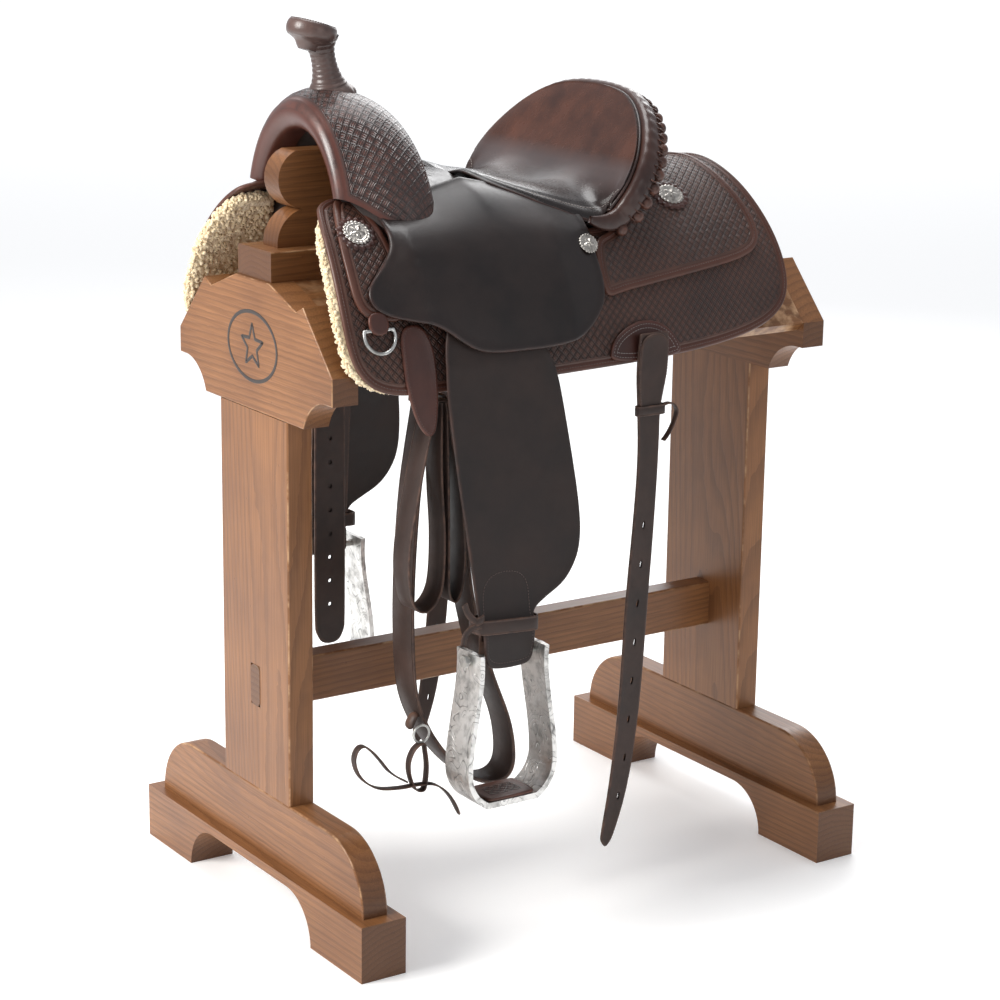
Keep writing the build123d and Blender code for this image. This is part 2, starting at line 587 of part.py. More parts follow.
FENDER_SECTION = hang_section(14.4, FENDER_T, ((270.0, 600.0), (284.0, 470.0), (294.0, 440.0),
                                                (294.0, 392.0)))
STRAND_SECTION = hang_section(11.0, STRAND_T, ((262.0, 600.0), (271.0, 470.0),
                                                (BOLT_Y - 9.6, 440.0), (BOLT_Y - 9.6, BOLT_Z)))
FENDER_OUTLINE = [(-262.0, 845.0), (-262.0, 740.0), (-252.0, 640.0), (-240.0, 540.0),
                  (-233.0, 470.0), (-228.0, 400.0), (-205.0, 388.0), (-165.0, 388.0),
                  (-150.0, 400.0), (-147.0, 458.0), (-122.0, 474.0), (-88.0, 494.0),
                  (-66.0, 540.0), (-70.0, 620.0), (-84.0, 720.0), (-93.0, 765.0), (-106.0, 797.0),
                  (-130.0, 823.0), (-142.0, 845.0)]


def hang(side, section, outline):
    with BuildSketch(Plane.YZ.offset(-300)) as across:
        with BuildLine():
            Polyline(*[(side * y, z) for y, z in section], close=True)
        make_face()
    extrude(across.sketch, amount=290)
    keep_outline(side, outline)


def stirrup_half(grow):
    """Right half of the stirrup's inside or outside, grown inwards by grow: (x, z) points."""
    return ((STIRRUP_TOP_HALF - grow, BOLT_Z + 12), (STIRRUP_TOP_HALF + 2 - grow, BOLT_Z - 40),
            (STIRRUP_FOOT_HALF - 1 - grow, STIRRUP_FOOT + 72),
            (STIRRUP_FOOT_HALF - grow, STIRRUP_FOOT + 48))


def stirrup_sketch(side):
    outer, inner = stirrup_half(0), stirrup_half(STIRRUP_T)
    with BuildSketch(Plane.XZ.offset(-side * (BOLT_Y - STIRRUP_D / 2))) as bell:
        with BuildLine():
            for mirror_x in (1, -1):
                here = [(BOLT_X + mirror_x * x, z) for x, z in outer]
                back = [(BOLT_X + mirror_x * x, z) for x, z in inner]
                foot_out = (BOLT_X + mirror_x * 40, STIRRUP_FOOT)
                foot_in = (BOLT_X + mirror_x * 37, STIRRUP_FOOT + STIRRUP_T + 1)
                Spline(*here)
                Spline(*back)
                Line(here[0], back[0])
                TangentArc(here[-1], foot_out, tangent=(-mirror_x * 0.05, -1))
                TangentArc(back[-1], foot_in, tangent=(-mirror_x * 0.05, -1))
            Line((BOLT_X - 40, STIRRUP_FOOT), (BOLT_X + 40, STIRRUP_FOOT))
            Line((BOLT_X - 37, STIRRUP_FOOT + STIRRUP_T + 1), (BOLT_X + 37, STIRRUP_FOOT + STIRRUP_T + 1))
        make_face()
    return bell.sketch


RIGHT_FENDER_BACK = 60.0  # the right fender and stirrup hang further back than the left ones

for side, word, back in ((LEFT, "left", 0.0), (RIGHT, "right", RIGHT_FENDER_BACK)):
    with BuildPart() as fender:
        hang(side, FENDER_SECTION, FENDER_OUTLINE)
    show_and_save(fender.part.moved(Location((back, 0, 0))), f"{word}_fender")

    with BuildPart() as strand:
        hang(side, STRAND_SECTION, [(BOLT_X - STRAND_HALF, 868), (BOLT_X - STRAND_HALF, BOLT_Z),
                                    (BOLT_X + STRAND_HALF, BOLT_Z), (BOLT_X + STRAND_HALF, 868)])
        with BuildSketch(Plane.YZ.offset(BOLT_X - STRAND_HALF)):
            with Locations((side * BOLT_Y, BOLT_Z)):
                Circle(9.6)
                Circle(9.6 - STRAND_T, mode=Mode.SUBTRACT)
            with Locations((side * BOLT_Y, BOLT_Z + 20)):
                Rectangle(30, 40, mode=Mode.SUBTRACT)
            with Locations((side * (BOLT_Y + 8.1), BOLT_Z + 15)):
                Rectangle(STRAND_T, 30)
        extrude(amount=2 * STRAND_HALF)
    show_and_save(strand.part.moved(Location((back, 0, 0))), f"{word}_stirrup_leather")

    with BuildPart() as hobble:
        with BuildSketch(Plane.XY.offset(HOBBLE_Z)):
            with Locations((BOLT_X, side * 284.5)):
                RectangleRounded(97, 35, 4)
                RectangleRounded(92, 30, 2, mode=Mode.SUBTRACT)
        extrude(amount=HOBBLE_H)
    show_and_save(hobble.part.moved(Location((back, 0, 0))), f"{word}_hobble_strap")

    with BuildPart() as stirrup:
        extrude(stirrup_sketch(side), amount=-side * STIRRUP_D)
        with BuildSketch(Plane.YZ.offset(BOLT_X - 80)):
            with Locations((side * BOLT_Y, BOLT_Z)):
                Circle(BOLT_R + 0.05)
        extrude(amount=160, mode=Mode.SUBTRACT)
    show_and_save(stirrup.part.moved(Location((back, 0, 0))), f"{word}_stirrup")

    with BuildPart() as tread:
        with Locations((BOLT_X, side * BOLT_Y, STIRRUP_FOOT + STIRRUP_T + 1 + CLEAR + 2)):
            Box(72, STIRRUP_D, 4)
        fillet(tread.edges().filter_by(Axis.Z), 6)
    show_and_save(tread.part.moved(Location((back, 0, 0))), f"{word}_tread_pad")

    with BuildPart() as bolt:
        with BuildSketch(Plane.YZ.offset(BOLT_X - STIRRUP_TOP_HALF - 4)):
            with Locations((side * BOLT_Y, BOLT_Z)):
                Circle(BOLT_R)
        extrude(amount=2 * STIRRUP_TOP_HALF + 8)
        for x in (-STIRRUP_TOP_HALF - 8.5, STIRRUP_TOP_HALF + 3.5):
            with BuildSketch(Plane.YZ.offset(BOLT_X + x)):
                with Locations((side * BOLT_Y, BOLT_Z)):
                    RegularPolygon(9, 6)
            extrude(amount=5)
    show_and_save(bolt.part.moved(Location((back, 0, 0))), f"{word}_stirrup_bolt")

# ============================== straps that hang and swing =====================================
LATIGO_LOOPS = (((-262.0, 738.0), (-285.0, 640.0), (-303.0, 560.0), (-304.0, 495.0), (-278.0, 461.0),
                 (-252.0, 488.0), (-250.0, 560.0), (-257.0, 640.0), (-256.0, 738.0)),
                ((-250.0, 738.0), (-228.0, 640.0), (-218.0, 545.0), (-221.0, 490.0), (-235.0, 468.0),
                 (-243.0, 490.0), (-243.0, 600.0), (-248.0, 738.0)))
CINCH_LOOP = ((-240.0, 735.0), (-262.0, 600.0), (-270.0, 430.0), (-258.0, 315.0), (-205.0, 222.0),
              (-140.0, 182.0), (-106.0, 205.0), (-114.0, 270.0), (-158.0, 380.0), (-186.0, 520.0),
              (-225.0, 735.0))
BUCKLE_LOOP = ((-266.0, 271.0), (-283.0, 258.0), (-286.0, 236.0), (-275.0, 206.0), (-261.0, 206.0),
               (-258.0, 236.0), (-262.0, 262.0))
LONG_LOOP = ((-290.0, 222.0), (-318.0, 242.0), (-340.0, 272.0), (-362.0, 286.0), (-371.0, 264.0),
             (-358.0, 238.0), (-330.0, 220.0), (-300.0, 214.0), (-250.0, 212.0), (-222.0, 192.0),
             (-205.0, 158.0))


def edge_band(side, path, radius, y_inner, wide, thick):
    """A strap bent in the side view: its line is path, its width runs across the saddle."""
    with BuildSketch(Plane.XZ.offset(-side * y_inner)) as band:
        with BuildLine() as line:
            FilletPolyline(*path, radius=radius)
        trace(line.line, line_width=thick)
    extrude(band.sketch, amount=-side * wide)


BILLET_LEFT_EDGE = ((48.0, 800.0), (43.0, 749.0), (46.0, 706.0), (50.0, 634.0), (45.0, 544.0),
                    (35.0, 433.0), (29.0, 290.0), (17.0, 175.0), (2.0, 92.0), (11.0, 77.0))
BILLET_RIGHT_EDGE = ((25.0, 90.0), (50.0, 169.0), (65.0, 284.0), (73.0, 426.0), (80.0, 539.0),
                     (84.0, 634.0), (84.0, 706.0), (93.0, 745.0), (95.0, 800.0))
BILLET_FOLD = ((48.0, 800.0), (43.0, 749.0), (46.0, 706.0), (84.0, 706.0), (93.0, 745.0),
               (95.0, 800.0))
BILLET_SLOTS = ((31.0, 150.0), (40.0, 205.0), (45.0, 260.0), (49.0, 315.0), (52.0, 370.0),
                (55.0, 425.0), (59.0, 480.0), (62.0, 535.0))
KEEPER_LOOP = ((87.0, 700.0), (104.0, 700.0), (112.0, 688.0), (104.0, 668.0), (90.0, 650.0))

for side, word in ((LEFT, "left"), (RIGHT, "right")):
    with BuildPart() as billet:
        side_plate(side, BILLET_Y, BILLET_T, BILLET_LEFT_EDGE + BILLET_RIGHT_EDGE)
        side_plate(side, BILLET_Y + BILLET_T, BILLET_T, BILLET_FOLD)
        with BuildSketch(Plane.XZ.offset(-side * (BILLET_Y - 1))) as slots:
            with Locations(*BILLET_SLOTS):
                SlotOverall(11, 3.6, rotation=80)
        extrude(slots.sketch, amount=-side * 8, mode=Mode.SUBTRACT)

    with BuildPart() as keeper:
        with BuildSketch(Plane.XY.offset(688)):
            with Locations((66.5, side * (BILLET_Y + BILLET_T))):
                Rectangle(46, 13)
                Rectangle(41, 8.6, mode=Mode.SUBTRACT)
        extrude(amount=14)
        edge_band(side, KEEPER_LOOP, 4.0, BILLET_Y - 1, 10.0, 3.0)

    with BuildPart() as billet_and_keeper:
        add([billet.part, keeper.part])
    show_and_save(billet_and_keeper.part, f"{word}_rear_billet")

with BuildPart() as latigo:
    for loop in LATIGO_LOOPS:
        edge_band(LEFT, loop, 9.0, LATIGO_Y, LATIGO_W, LATIGO_T)
    with BuildSketch(Plane.XZ.offset(LATIGO_Y)):
        with Locations((-256.0, 729.0)):
            RectangleRounded(26, 18, 3)
    extrude(amount=LATIGO_W)
show_and_save(latigo.part, "latigo")

with BuildPart() as cinch:
    edge_band(LEFT, CINCH_LOOP, 22.0, CINCH_Y, CINCH_W, CINCH_T)
    with BuildSketch(Plane.XZ.offset(CINCH_Y)):
        with Locations((-234.0, 726.0)):
            RectangleRounded(26, 18, 3)
    extrude(amount=CINCH_W)
    with BuildSketch(Plane.XZ.offset(CINCH_Y + CINCH_W - 30)):
        with BuildLine():
            Polyline((-262.6, 280.0), (-251.0, 297.0), (-260.5, 303.0), (-271.0, 288.0), close=True)
        make_face()
    extrude(amount=29)
    with BuildSketch(Plane.XZ.offset(CINCH_Y + CINCH_W - 30)):
        with Locations((RING_AT[0], RING_AT[1] + RING_R - RING_WIRE / 2 - 4.2)):
            Circle(3.8)
    extrude(amount=50)
show_and_save(cinch.part, "flank_cinch")

with BuildPart() as ring:
    with BuildSketch(Plane.XZ.offset(CONNECTOR_Y + CONNECTOR_W / 2 - RING_WIRE / 2)):
        with Locations(RING_AT):
            Circle(RING_R + RING_WIRE / 2)
            Circle(RING_R - RING_WIRE / 2, mode=Mode.SUBTRACT)
    extrude(amount=RING_WIRE)
    fillet(ring.edges(), 1.3)
show_and_save(ring.part, "connector_ring")

with BuildPart() as connector:
    with BuildSketch(Plane.XZ.offset(CONNECTOR_Y)) as small_loop:
        with BuildLine() as loop_line:
            FilletPolyline(*BUCKLE_LOOP, radius=5.0, close=True)
        trace(loop_line.line, line_width=CONNECTOR_T)
    extrude(small_loop.sketch, amount=CONNECTOR_W)
    edge_band(LEFT, LONG_LOOP, 7.0, CONNECTOR_Y, CONNECTOR_W, CONNECTOR_T)
show_and_save(connector.part, "connector_strap")

with BuildPart() as off_billet:
    side_plate(RIGHT, OFF_BILLET_Y, OFF_BILLET_T, ((-172.0, 745.0), (-174.0, 300.0), (-160.0, 268.0),
                                                   (-134.0, 268.0), (-122.0, 300.0), (-122.0, 745.0)))
    with BuildSketch(Plane.XZ.offset(-OFF_BILLET_Y + 1)) as holes:
        with Locations(*[(-148.0, 330.0 + 36.0 * k) for k in range(8)]):
            Circle(3.2)
    extrude(holes.sketch, amount=-8, mode=Mode.SUBTRACT)
show_and_save(off_billet.part, "right_off_billet")
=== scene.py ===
import math
import random

import bpy
import numpy as np
from mathutils import Matrix, Vector, geometry


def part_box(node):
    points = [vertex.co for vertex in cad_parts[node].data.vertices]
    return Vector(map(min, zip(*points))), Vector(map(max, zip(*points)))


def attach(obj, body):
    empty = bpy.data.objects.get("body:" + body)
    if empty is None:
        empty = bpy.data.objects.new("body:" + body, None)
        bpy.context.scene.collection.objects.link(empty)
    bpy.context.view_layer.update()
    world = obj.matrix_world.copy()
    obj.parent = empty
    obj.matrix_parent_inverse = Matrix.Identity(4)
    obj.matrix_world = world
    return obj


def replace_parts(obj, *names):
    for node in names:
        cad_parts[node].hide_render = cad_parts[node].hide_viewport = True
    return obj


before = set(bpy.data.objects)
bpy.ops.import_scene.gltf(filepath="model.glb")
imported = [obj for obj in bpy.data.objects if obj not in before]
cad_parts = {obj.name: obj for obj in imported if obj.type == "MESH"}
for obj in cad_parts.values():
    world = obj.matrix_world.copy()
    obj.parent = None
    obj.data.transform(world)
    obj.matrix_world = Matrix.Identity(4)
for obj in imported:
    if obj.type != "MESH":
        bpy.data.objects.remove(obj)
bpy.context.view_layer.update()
rng = random.Random(7)

MM = 0.001
LEFT, RIGHT = -1, 1
SIDES = ((LEFT, "left"), (RIGHT, "right"))

# ============================== camera, floor and lights ========================================
CAM_AT = (-2.0182, -2.9842, 1.4649)
CAM_AZIMUTH, CAM_PITCH, CAM_ROLL = (math.radians(a) for a in (56.02, -14.66, 0.83))
CAM_LENS, CAM_SENSOR, CAM_REACH = 94.36, 36.0, 50.0
WORLD_TINT, WORLD_STRENGTH = (0.93, 0.95, 1.0, 1), 0.50
FLOOR_SIZE, FLOOR_GLOW = 70, 0.2
# name, place, target, size, watts, tint
LAMPS = (("key", (-3.3, 0.3, 2.5), (0, 0, 0.75), 1.6, 150, (1.0, 0.98, 0.95)),
         ("top", (0.2, 0.5, 3.2), (0, 0, 0.9), 1.5, 50, (1, 1, 1)),
         ("fill", (0.4, -3.8, 1.6), (0, 0, 0.6), 1.6, 10, (1, 1, 1)),
         ("rear", (2.6, 2.4, 2.4), (0, 0, 0.8), 1.6, 30, (1, 1, 1)),
         ("backdrop", (9.0, 13.0, 9.0), (9.5, 14.0, 0), 16.0, 1100, (1, 1, 1)))


def make_camera():
    az, el, roll = CAM_AZIMUTH, CAM_PITCH, CAM_ROLL
    ahead = Vector((math.cos(el) * math.cos(az), math.cos(el) * math.sin(az), math.sin(el)))
    right = Vector((math.sin(az), -math.cos(az), 0))
    up = right.cross(ahead)
    right, up = (right * math.cos(roll) + up * math.sin(roll),
                 up * math.cos(roll) - right * math.sin(roll))
    data = bpy.data.cameras.new("photo_camera")
    data.lens = CAM_LENS
    data.sensor_width = CAM_SENSOR
    data.clip_end = CAM_REACH
    camera = bpy.data.objects.new("photo_camera", data)
    bpy.context.collection.objects.link(camera)
    turn = Matrix((right, up, -ahead)).transposed().to_4x4()
    camera.matrix_world = Matrix.Translation(CAM_AT) @ turn
    bpy.context.scene.camera = camera


def area_light(name, at, target, size, watts, tint):
    data = bpy.data.lights.new(name, "AREA")
    data.size = size
    data.energy = watts
    data.color = tint
    lamp = bpy.data.objects.new(name, data)
    bpy.context.collection.objects.link(lamp)
    lamp.location = at
    lamp.rotation_euler = (Vector(target) - Vector(at)).to_track_quat("-Z", "Y").to_euler()


def make_studio():
    world = bpy.context.scene.world or bpy.data.worlds.new("studio")
    bpy.context.scene.world = world
    world.use_nodes = True
    back = next(n for n in world.node_tree.nodes if n.type == "BACKGROUND")
    back.inputs["Color"].default_value = WORLD_TINT
    back.inputs["Strength"].default_value = WORLD_STRENGTH
    for lamp in LAMPS:
        area_light(*lamp)
    bpy.context.scene.view_settings.view_transform = "Standard"
    bpy.ops.mesh.primitive_plane_add(size=FLOOR_SIZE, location=(0, 0, 0))
    floor = bpy.context.object
    floor.name = "studio_floor"
    floor.data.materials.append(plain_floor())


# ============================== material helpers ================================================
class Shader:
    """A material under construction: node() adds a node and links or sets its inputs."""

    def __init__(self, name):
        self.material = bpy.data.materials.new(name)
        self.material.use_nodes = True
        self.tree = self.material.node_tree
        self.bsdf = next(n for n in self.tree.nodes if n.type == "BSDF_PRINCIPLED")

    def put(self, socket, value):
        if isinstance(value, bpy.types.NodeSocket):
            self.tree.links.new(value, socket)
        else:
            socket.default_value = value

    def node(self, kind, inputs=None, out=0, **settings):
        made = self.tree.nodes.new("ShaderNode" + kind)
        for key, value in settings.items():
            setattr(made, key, value)
        for key, value in (inputs or {}).items():
            self.put(made.inputs[key], value)
        return made.outputs[out]

    def math(self, operation, a, b=0.0, clamp=False):
        return self.node("Math", {0: a, 1: b}, operation=operation, use_clamp=clamp)

    def mul(self, a, b, clamp=False):
        return self.math("MULTIPLY", a, b, clamp)

    def add(self, a, b):
        return self.math("ADD", a, b)

    def sub(self, a, b):
        return self.math("SUBTRACT", a, b)

    def arch(self, value):
        """4 x (1 - x): nothing at 0 and at 1, one half way between."""
        return self.mul(self.mul(value, self.sub(1.0, value)), 4.0)

    def coords(self, which="Object"):
        return self.node("TexCoord", out=which)

    def attribute(self, name):
        return self.node("Attribute", out="Fac", attribute_name=name)

    def mapping(self, vector, location=(0, 0, 0), rotation=(0, 0, 0), scale=(1, 1, 1)):
        return self.node("Mapping", {"Vector": vector, "Location": location,
                                     "Rotation": rotation, "Scale": scale})

    def noise(self, vector, scale, detail=3.0, rough=0.5):
        return self.node("TexNoise", {"Vector": vector, "Scale": scale, "Detail": detail,
                                      "Roughness": rough})

    def ramp(self, value, low, high, to_low=0.0, to_high=1.0):
        return self.node("MapRange", {"Value": value, "From Min": low, "From Max": high,
                                      "To Min": to_low, "To Max": to_high})

    def mix(self, factor, a, b):
        return self.node("Mix", {"Factor": factor, 6: self.rgba(a), 7: self.rgba(b)}, out=2,
                         data_type="RGBA")

    @staticmethod
    def rgba(colour):
        if isinstance(colour, bpy.types.NodeSocket):
            return colour
        return (*colour, 1.0)

    def bump(self, height, distance, strength=1.0, below=None):
        inputs = {"Height": height, "Distance": distance, "Strength": strength}
        if below is not None:
            inputs["Normal"] = below
        return self.node("Bump", inputs)

    def finish(self, colour, roughness, normal=None, **fixed):
        self.put(self.bsdf.inputs["Base Color"], self.rgba(colour))
        self.put(self.bsdf.inputs["Roughness"], roughness)
        if normal is not None:
            self.put(self.bsdf.inputs["Normal"], normal)
        for key, value in fixed.items():
            self.bsdf.inputs[key.replace("_", " ")].default_value = value
        return self.material


def plain_floor():
    s = Shader("studio_floor")
    speck = s.noise(s.coords(), 90.0)
    return s.finish(s.mix(speck, (0.90, 0.90, 0.89), (0.93, 0.93, 0.92)), 0.6,
                    Emission_Color=(0.93, 0.94, 0.96, 1.0), Emission_Strength=FLOOR_GLOW)


# ---- wood: rings of the log cut by the board, fibres, stain, worn edges ------------------------
AXES = {"X": 0, "Y": 1, "Z": 2}
PINE_LIGHT, PINE_MID, PINE_DARK = (0.31, 0.136, 0.050), (0.205, 0.083, 0.029), (0.072, 0.027, 0.011)
PINE_WORN = (0.58, 0.36, 0.20)


def wood(name, along, pith, seed, spacing=0.0085, tone=1.0, thin="X"):
    """Stained pine. along is the grain's axis, pith is where the log's middle would be."""
    s = Shader(name)
    place = s.node("VectorMath", {0: s.coords(), 1: (seed * 3.1, seed * 1.7, seed * 2.3)},
                   operation="ADD")
    slim = [1.0, 1.0, 1.0]
    slim[AXES[along]] = 0.16
    drift = s.noise(s.mapping(place, scale=slim), 5.0, 2.0, 0.45)
    shift = s.node("VectorMath", {0: drift, "Scale": 0.11}, operation="SCALE")
    moved = s.node("VectorMath", {0: s.coords(), 1: shift}, operation="ADD")
    tilt = [0.0, 0.0, 0.0]
    tilt[(AXES[along] + 1) % 3] = 0.055
    rings_at = s.mapping(moved, location=[-p for p in pith], rotation=tilt)
    rings = s.node("TexWave", {"Vector": rings_at, "Scale": 0.314 / spacing, "Distortion": 1.1,
                               "Detail": 2.0, "Detail Scale": 1.4, "Detail Roughness": 0.5}, out=1,
                   wave_type="RINGS", rings_direction=along, wave_profile="SAW")
    fine = [620.0, 620.0, 620.0]
    fine[AXES[along]] = 9.0
    fibre = s.noise(s.mapping(place, scale=fine), 1.0, 3.0, 0.6)
    patch = s.noise(place, 5.5, 3.0, 0.55)
    late = s.node("MapRange", {"Value": rings, "From Min": 0.35, "From Max": 0.98,
                               "To Min": 0.0, "To Max": 1.0}, interpolation_type="SMOOTHSTEP")
    colour = s.mix(s.ramp(patch, 0.3, 0.72), [tone * c for c in PINE_MID],
                   [tone * c for c in PINE_LIGHT])
    colour = s.mix(s.mul(late, 0.34), colour, [tone * c for c in PINE_DARK])
    colour = s.mix(s.ramp(fibre, 0.35, 0.8, 0.0, 0.55), colour, [tone * c for c in PINE_DARK])
    normal = s.node("SeparateXYZ", {0: s.coords("Normal")}, out=AXES[thin])
    n2 = s.mul(normal, normal)
    ridge = s.arch(n2)
    scuff = s.ramp(s.noise(place, 38.0, 4.0, 0.6), 0.44, 0.62)
    worn = s.mul(ridge, s.mul(scuff, 0.62), clamp=True)
    colour = s.mix(worn, colour, PINE_WORN)
    end = s.node("SeparateXYZ", {0: s.coords("Normal")}, out=AXES[along])
    end2 = s.mul(end, end)
    colour = s.mix(s.ramp(end2, 0.5, 0.95, 0.0, 0.62), colour, [tone * 0.75 * c for c in PINE_DARK])
    dents = s.ramp(s.node("TexVoronoi", {"Vector": place, "Scale": 26.0}), 0.0, 0.05, 1.0, 0.0)
    colour = s.mix(s.mul(dents, 0.5), colour, (0.05, 0.02, 0.01))
    rough = s.ramp(s.add(fibre, s.mul(patch, 0.6)), 0.5, 1.3, 0.30, 0.50)
    height = s.sub(s.mul(fibre, 0.35), s.mul(late, 0.5))
    normal_out = s.bump(height, 0.0005, 0.55)
    normal_out = s.bump(s.mul(dents, -1.0), 0.0006, 0.5, normal_out)
    return s.finish(colour, rough, normal_out, Coat_Weight=0.12, Coat_Roughness=0.3,
                    Specular_IOR_Level=0.35)


# ---- leather -----------------------------------------------------------------------------------
def basket_height(s, uv, cell):
    """Basket-weave stamping, 0 to 1: strands pass over and under in squares set at 45 degrees."""
    turned = s.mapping(uv, rotation=(0, 0, math.radians(45)), scale=(1 / cell, 1 / cell, 1))
    u = s.node("SeparateXYZ", {0: turned}, out=0)
    v = s.node("SeparateXYZ", {0: turned}, out=1)
    square = s.add(s.math("FLOOR", u), s.math("FLOOR", v))
    over = s.math("MODULO", s.math("ABSOLUTE", square), 2.0)
    under = s.sub(1.0, over)
    fu, fv = s.math("FRACT", u), s.math("FRACT", v)
    along = s.add(s.mul(fu, over), s.mul(fv, under))
    across = s.add(s.mul(fv, over), s.mul(fu, under))
    hump = s.math("POWER", s.arch(along), 0.6)
    edge = s.math("POWER", s.arch(across), 0.35)
    bars = s.math("ABSOLUTE", s.math("SINE", s.mul(across, 3 * math.pi)))
    return s.mul(s.mul(hump, edge), s.add(0.62, s.mul(bars, 0.38)))


def leather(name, dark, light, rough=0.42, cell=None, border=0.013, worn=(0.16, 0.05, 0.03),
            worn_by=0.55, coat=0.12, extra=None, spec=0.32):
    """Oiled leather: pores, creases, mottling, burnished edge and, with cell, basket stamping with
    painted shade in its hollows and painted highlights on its tops.
    """
    s = Shader(name)
    place = s.coords()
    uv = s.node("UVMap")
    mottle = s.noise(place, 14.0, 4.0, 0.6)
    pores = s.node("TexVoronoi", {"Vector": place, "Scale": 900.0})
    crease = s.node("TexVoronoi", {"Vector": s.mapping(place, scale=(1, 1, 1.4)), "Scale": 330.0},
                    feature="DISTANCE_TO_EDGE")
    colour = s.mix(s.ramp(mottle, 0.32, 0.72), dark, light)
    edge = s.attribute("edge")
    scuff = s.ramp(s.noise(place, 60.0, 4.0, 0.65), 0.35, 0.7)
    rim = s.ramp(edge, 0.0, 0.0042, 1.0, 0.0)
    colour = s.mix(s.mul(rim, s.mul(scuff, worn_by), clamp=True), colour, worn)
    grain = s.add(s.mul(pores, 0.5), s.mul(s.ramp(crease, 0.0, 0.12), 0.5))
    normal = s.bump(grain, 0.00016, 0.35)
    rough_out = s.ramp(s.add(mottle, s.mul(scuff, 0.4)), 0.3, 1.1, rough - 0.08, rough + 0.12)
    if cell:
        inside_border = s.ramp(edge, border, border + 0.001)
        weave = basket_height(s, uv, cell)
        height = s.mul(weave, inside_border)
        painted_pit_shade = s.mul(s.sub(1.0, weave), inside_border)
        band = s.mul(s.ramp(edge, 0.0025, 0.0045),
                     s.ramp(edge, border - 0.004, border - 0.002, 1.0, 0.0))
        colour = s.mix(s.mul(band, 0.7), colour, [0.55 * c for c in worn])
        # painted shade: the stamping's hollows darkened towards near-black
        colour = s.mix(s.mul(painted_pit_shade, 0.9), colour, [0.18 * c for c in dark])
        # painted highlight: the weave's raised tops lightened with the worn colour
        colour = s.mix(s.mul(s.ramp(weave, 0.75, 1.0), s.mul(inside_border, 0.35)), colour, worn)
        normal = s.bump(height, 0.0016, 1.0, normal)
    if extra:
        colour, rough_out = extra(s, colour, rough_out)
    return s.finish(colour, rough_out, normal, Coat_Weight=coat, Coat_Roughness=0.26,
                    Specular_IOR_Level=spec)


def metal(name, colour, rough, tarnish=(0.12, 0.11, 0.10), cell=None):
    """Smoke-stained, brushed metal and, with cell, scrolls cut into it."""
    s = Shader(name)
    place = s.coords()
    smoke = s.noise(place, 55.0, 4.0, 0.6)
    lines = s.noise(s.mapping(place, scale=(40, 400, 400)), 4.0, 2.0, 0.5)
    shade = s.mix(s.ramp(smoke, 0.46, 0.70, 0.0, 0.75), colour, tarnish)
    normal = s.bump(lines, 0.0001, 0.3)
    if cell:
        vine = s.node("TexVoronoi", {"Vector": s.mapping(place, scale=(1, 1, 0.8)),
                                     "Scale": 1 / cell}, feature="SMOOTH_F1")
        scroll = s.math("SINE", s.mul(vine, 26.0))
        cut = s.ramp(s.math("ABSOLUTE", scroll), 0.0, 0.32, 1.0, 0.0)
        gate = s.ramp(s.noise(place, 45.0, 1.0), 0.42, 0.5)
        cut = s.mul(cut, gate)
        shade = s.mix(s.mul(cut, 0.72), shade, (0.05, 0.05, 0.05))
        normal = s.bump(s.mul(cut, -1.0), 0.0004, 0.8, normal)
    return s.finish(shade, s.ramp(smoke, 0.3, 0.75, rough - 0.06, rough + 0.18), normal,
                    Metallic=1.0)


def wool(name):
    s = Shader(name)
    place = s.coords()
    lock = s.noise(place, 120.0, 4.0, 0.65)
    tips = s.noise(place, 420.0, 3.0, 0.6)
    colour = s.mix(s.ramp(lock, 0.3, 0.7), (0.62, 0.45, 0.24), (0.98, 0.84, 0.58))
    colour = s.mix(s.ramp(tips, 0.5, 0.75, 0.0, 0.5), colour, (0.95, 0.86, 0.66))
    height = s.add(lock, s.mul(tips, 0.6))
    return s.finish(colour, 0.95, s.bump(height, 0.002, 0.8), Sheen_Weight=0.45,
                    Sheen_Roughness=0.6)


def thread(name, colour):
    s = Shader(name)
    twist = s.noise(s.coords(), 1500.0, 2.0)
    return s.finish(s.mix(twist, [0.6 * c for c in colour], colour), 0.7,
                    s.bump(twist, 0.0002, 0.6), Sheen_Weight=0.2)


# ============================== mesh helpers ====================================================
def unit(vectors):
    """The same directions at length one."""
    return vectors / np.linalg.norm(vectors, axis=-1, keepdims=True)


def run_along(line):
    """How far along a polyline each of its points is."""
    return np.r_[0, np.cumsum(np.linalg.norm(np.diff(line, axis=0), axis=1))]


def full_turn(count):
    return np.linspace(0, 2 * math.pi, count + 1)[:-1]


def uv_grid(across, along):
    return np.stack(np.meshgrid(across, along), axis=-1)


def squared_circle(count, x_power, y_power):
    """Points of a circle from -1 to 1, squared off where a power is under one."""
    return [(math.copysign(abs(math.cos(a)) ** x_power, math.cos(a)),
             math.copysign(abs(math.sin(a)) ** y_power, math.sin(a))) for a in full_turn(count)]


def link_mesh(name, points, faces, body, material, uv=None, edge=None):
    """A mesh from points in millimetres. uv and edge are per vertex, edge in millimetres."""
    mesh = bpy.data.meshes.new(name)
    mesh.from_pydata([tuple(float(c) * MM for c in p) for p in points], [], faces)
    if uv is not None:
        layer = mesh.uv_layers.new(name="UVMap")
        index = np.empty(len(mesh.loops), dtype=np.int32)
        mesh.loops.foreach_get("vertex_index", index)
        flat = (np.asarray(uv, dtype=np.float32) * MM)[index]
        layer.data.foreach_set("uv", flat.ravel())
    if edge is not None:
        values = mesh.attributes.new("edge", "FLOAT", "POINT")
        values.data.foreach_set("value", np.asarray(edge, dtype=np.float32) * MM)
    mesh.polygons.foreach_set("use_smooth", [True] * len(mesh.polygons))
    mesh.materials.append(material)
    mesh.update()
    piece = bpy.data.objects.new(name, mesh)
    bpy.context.collection.objects.link(piece)
    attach(piece, body)
    return piece


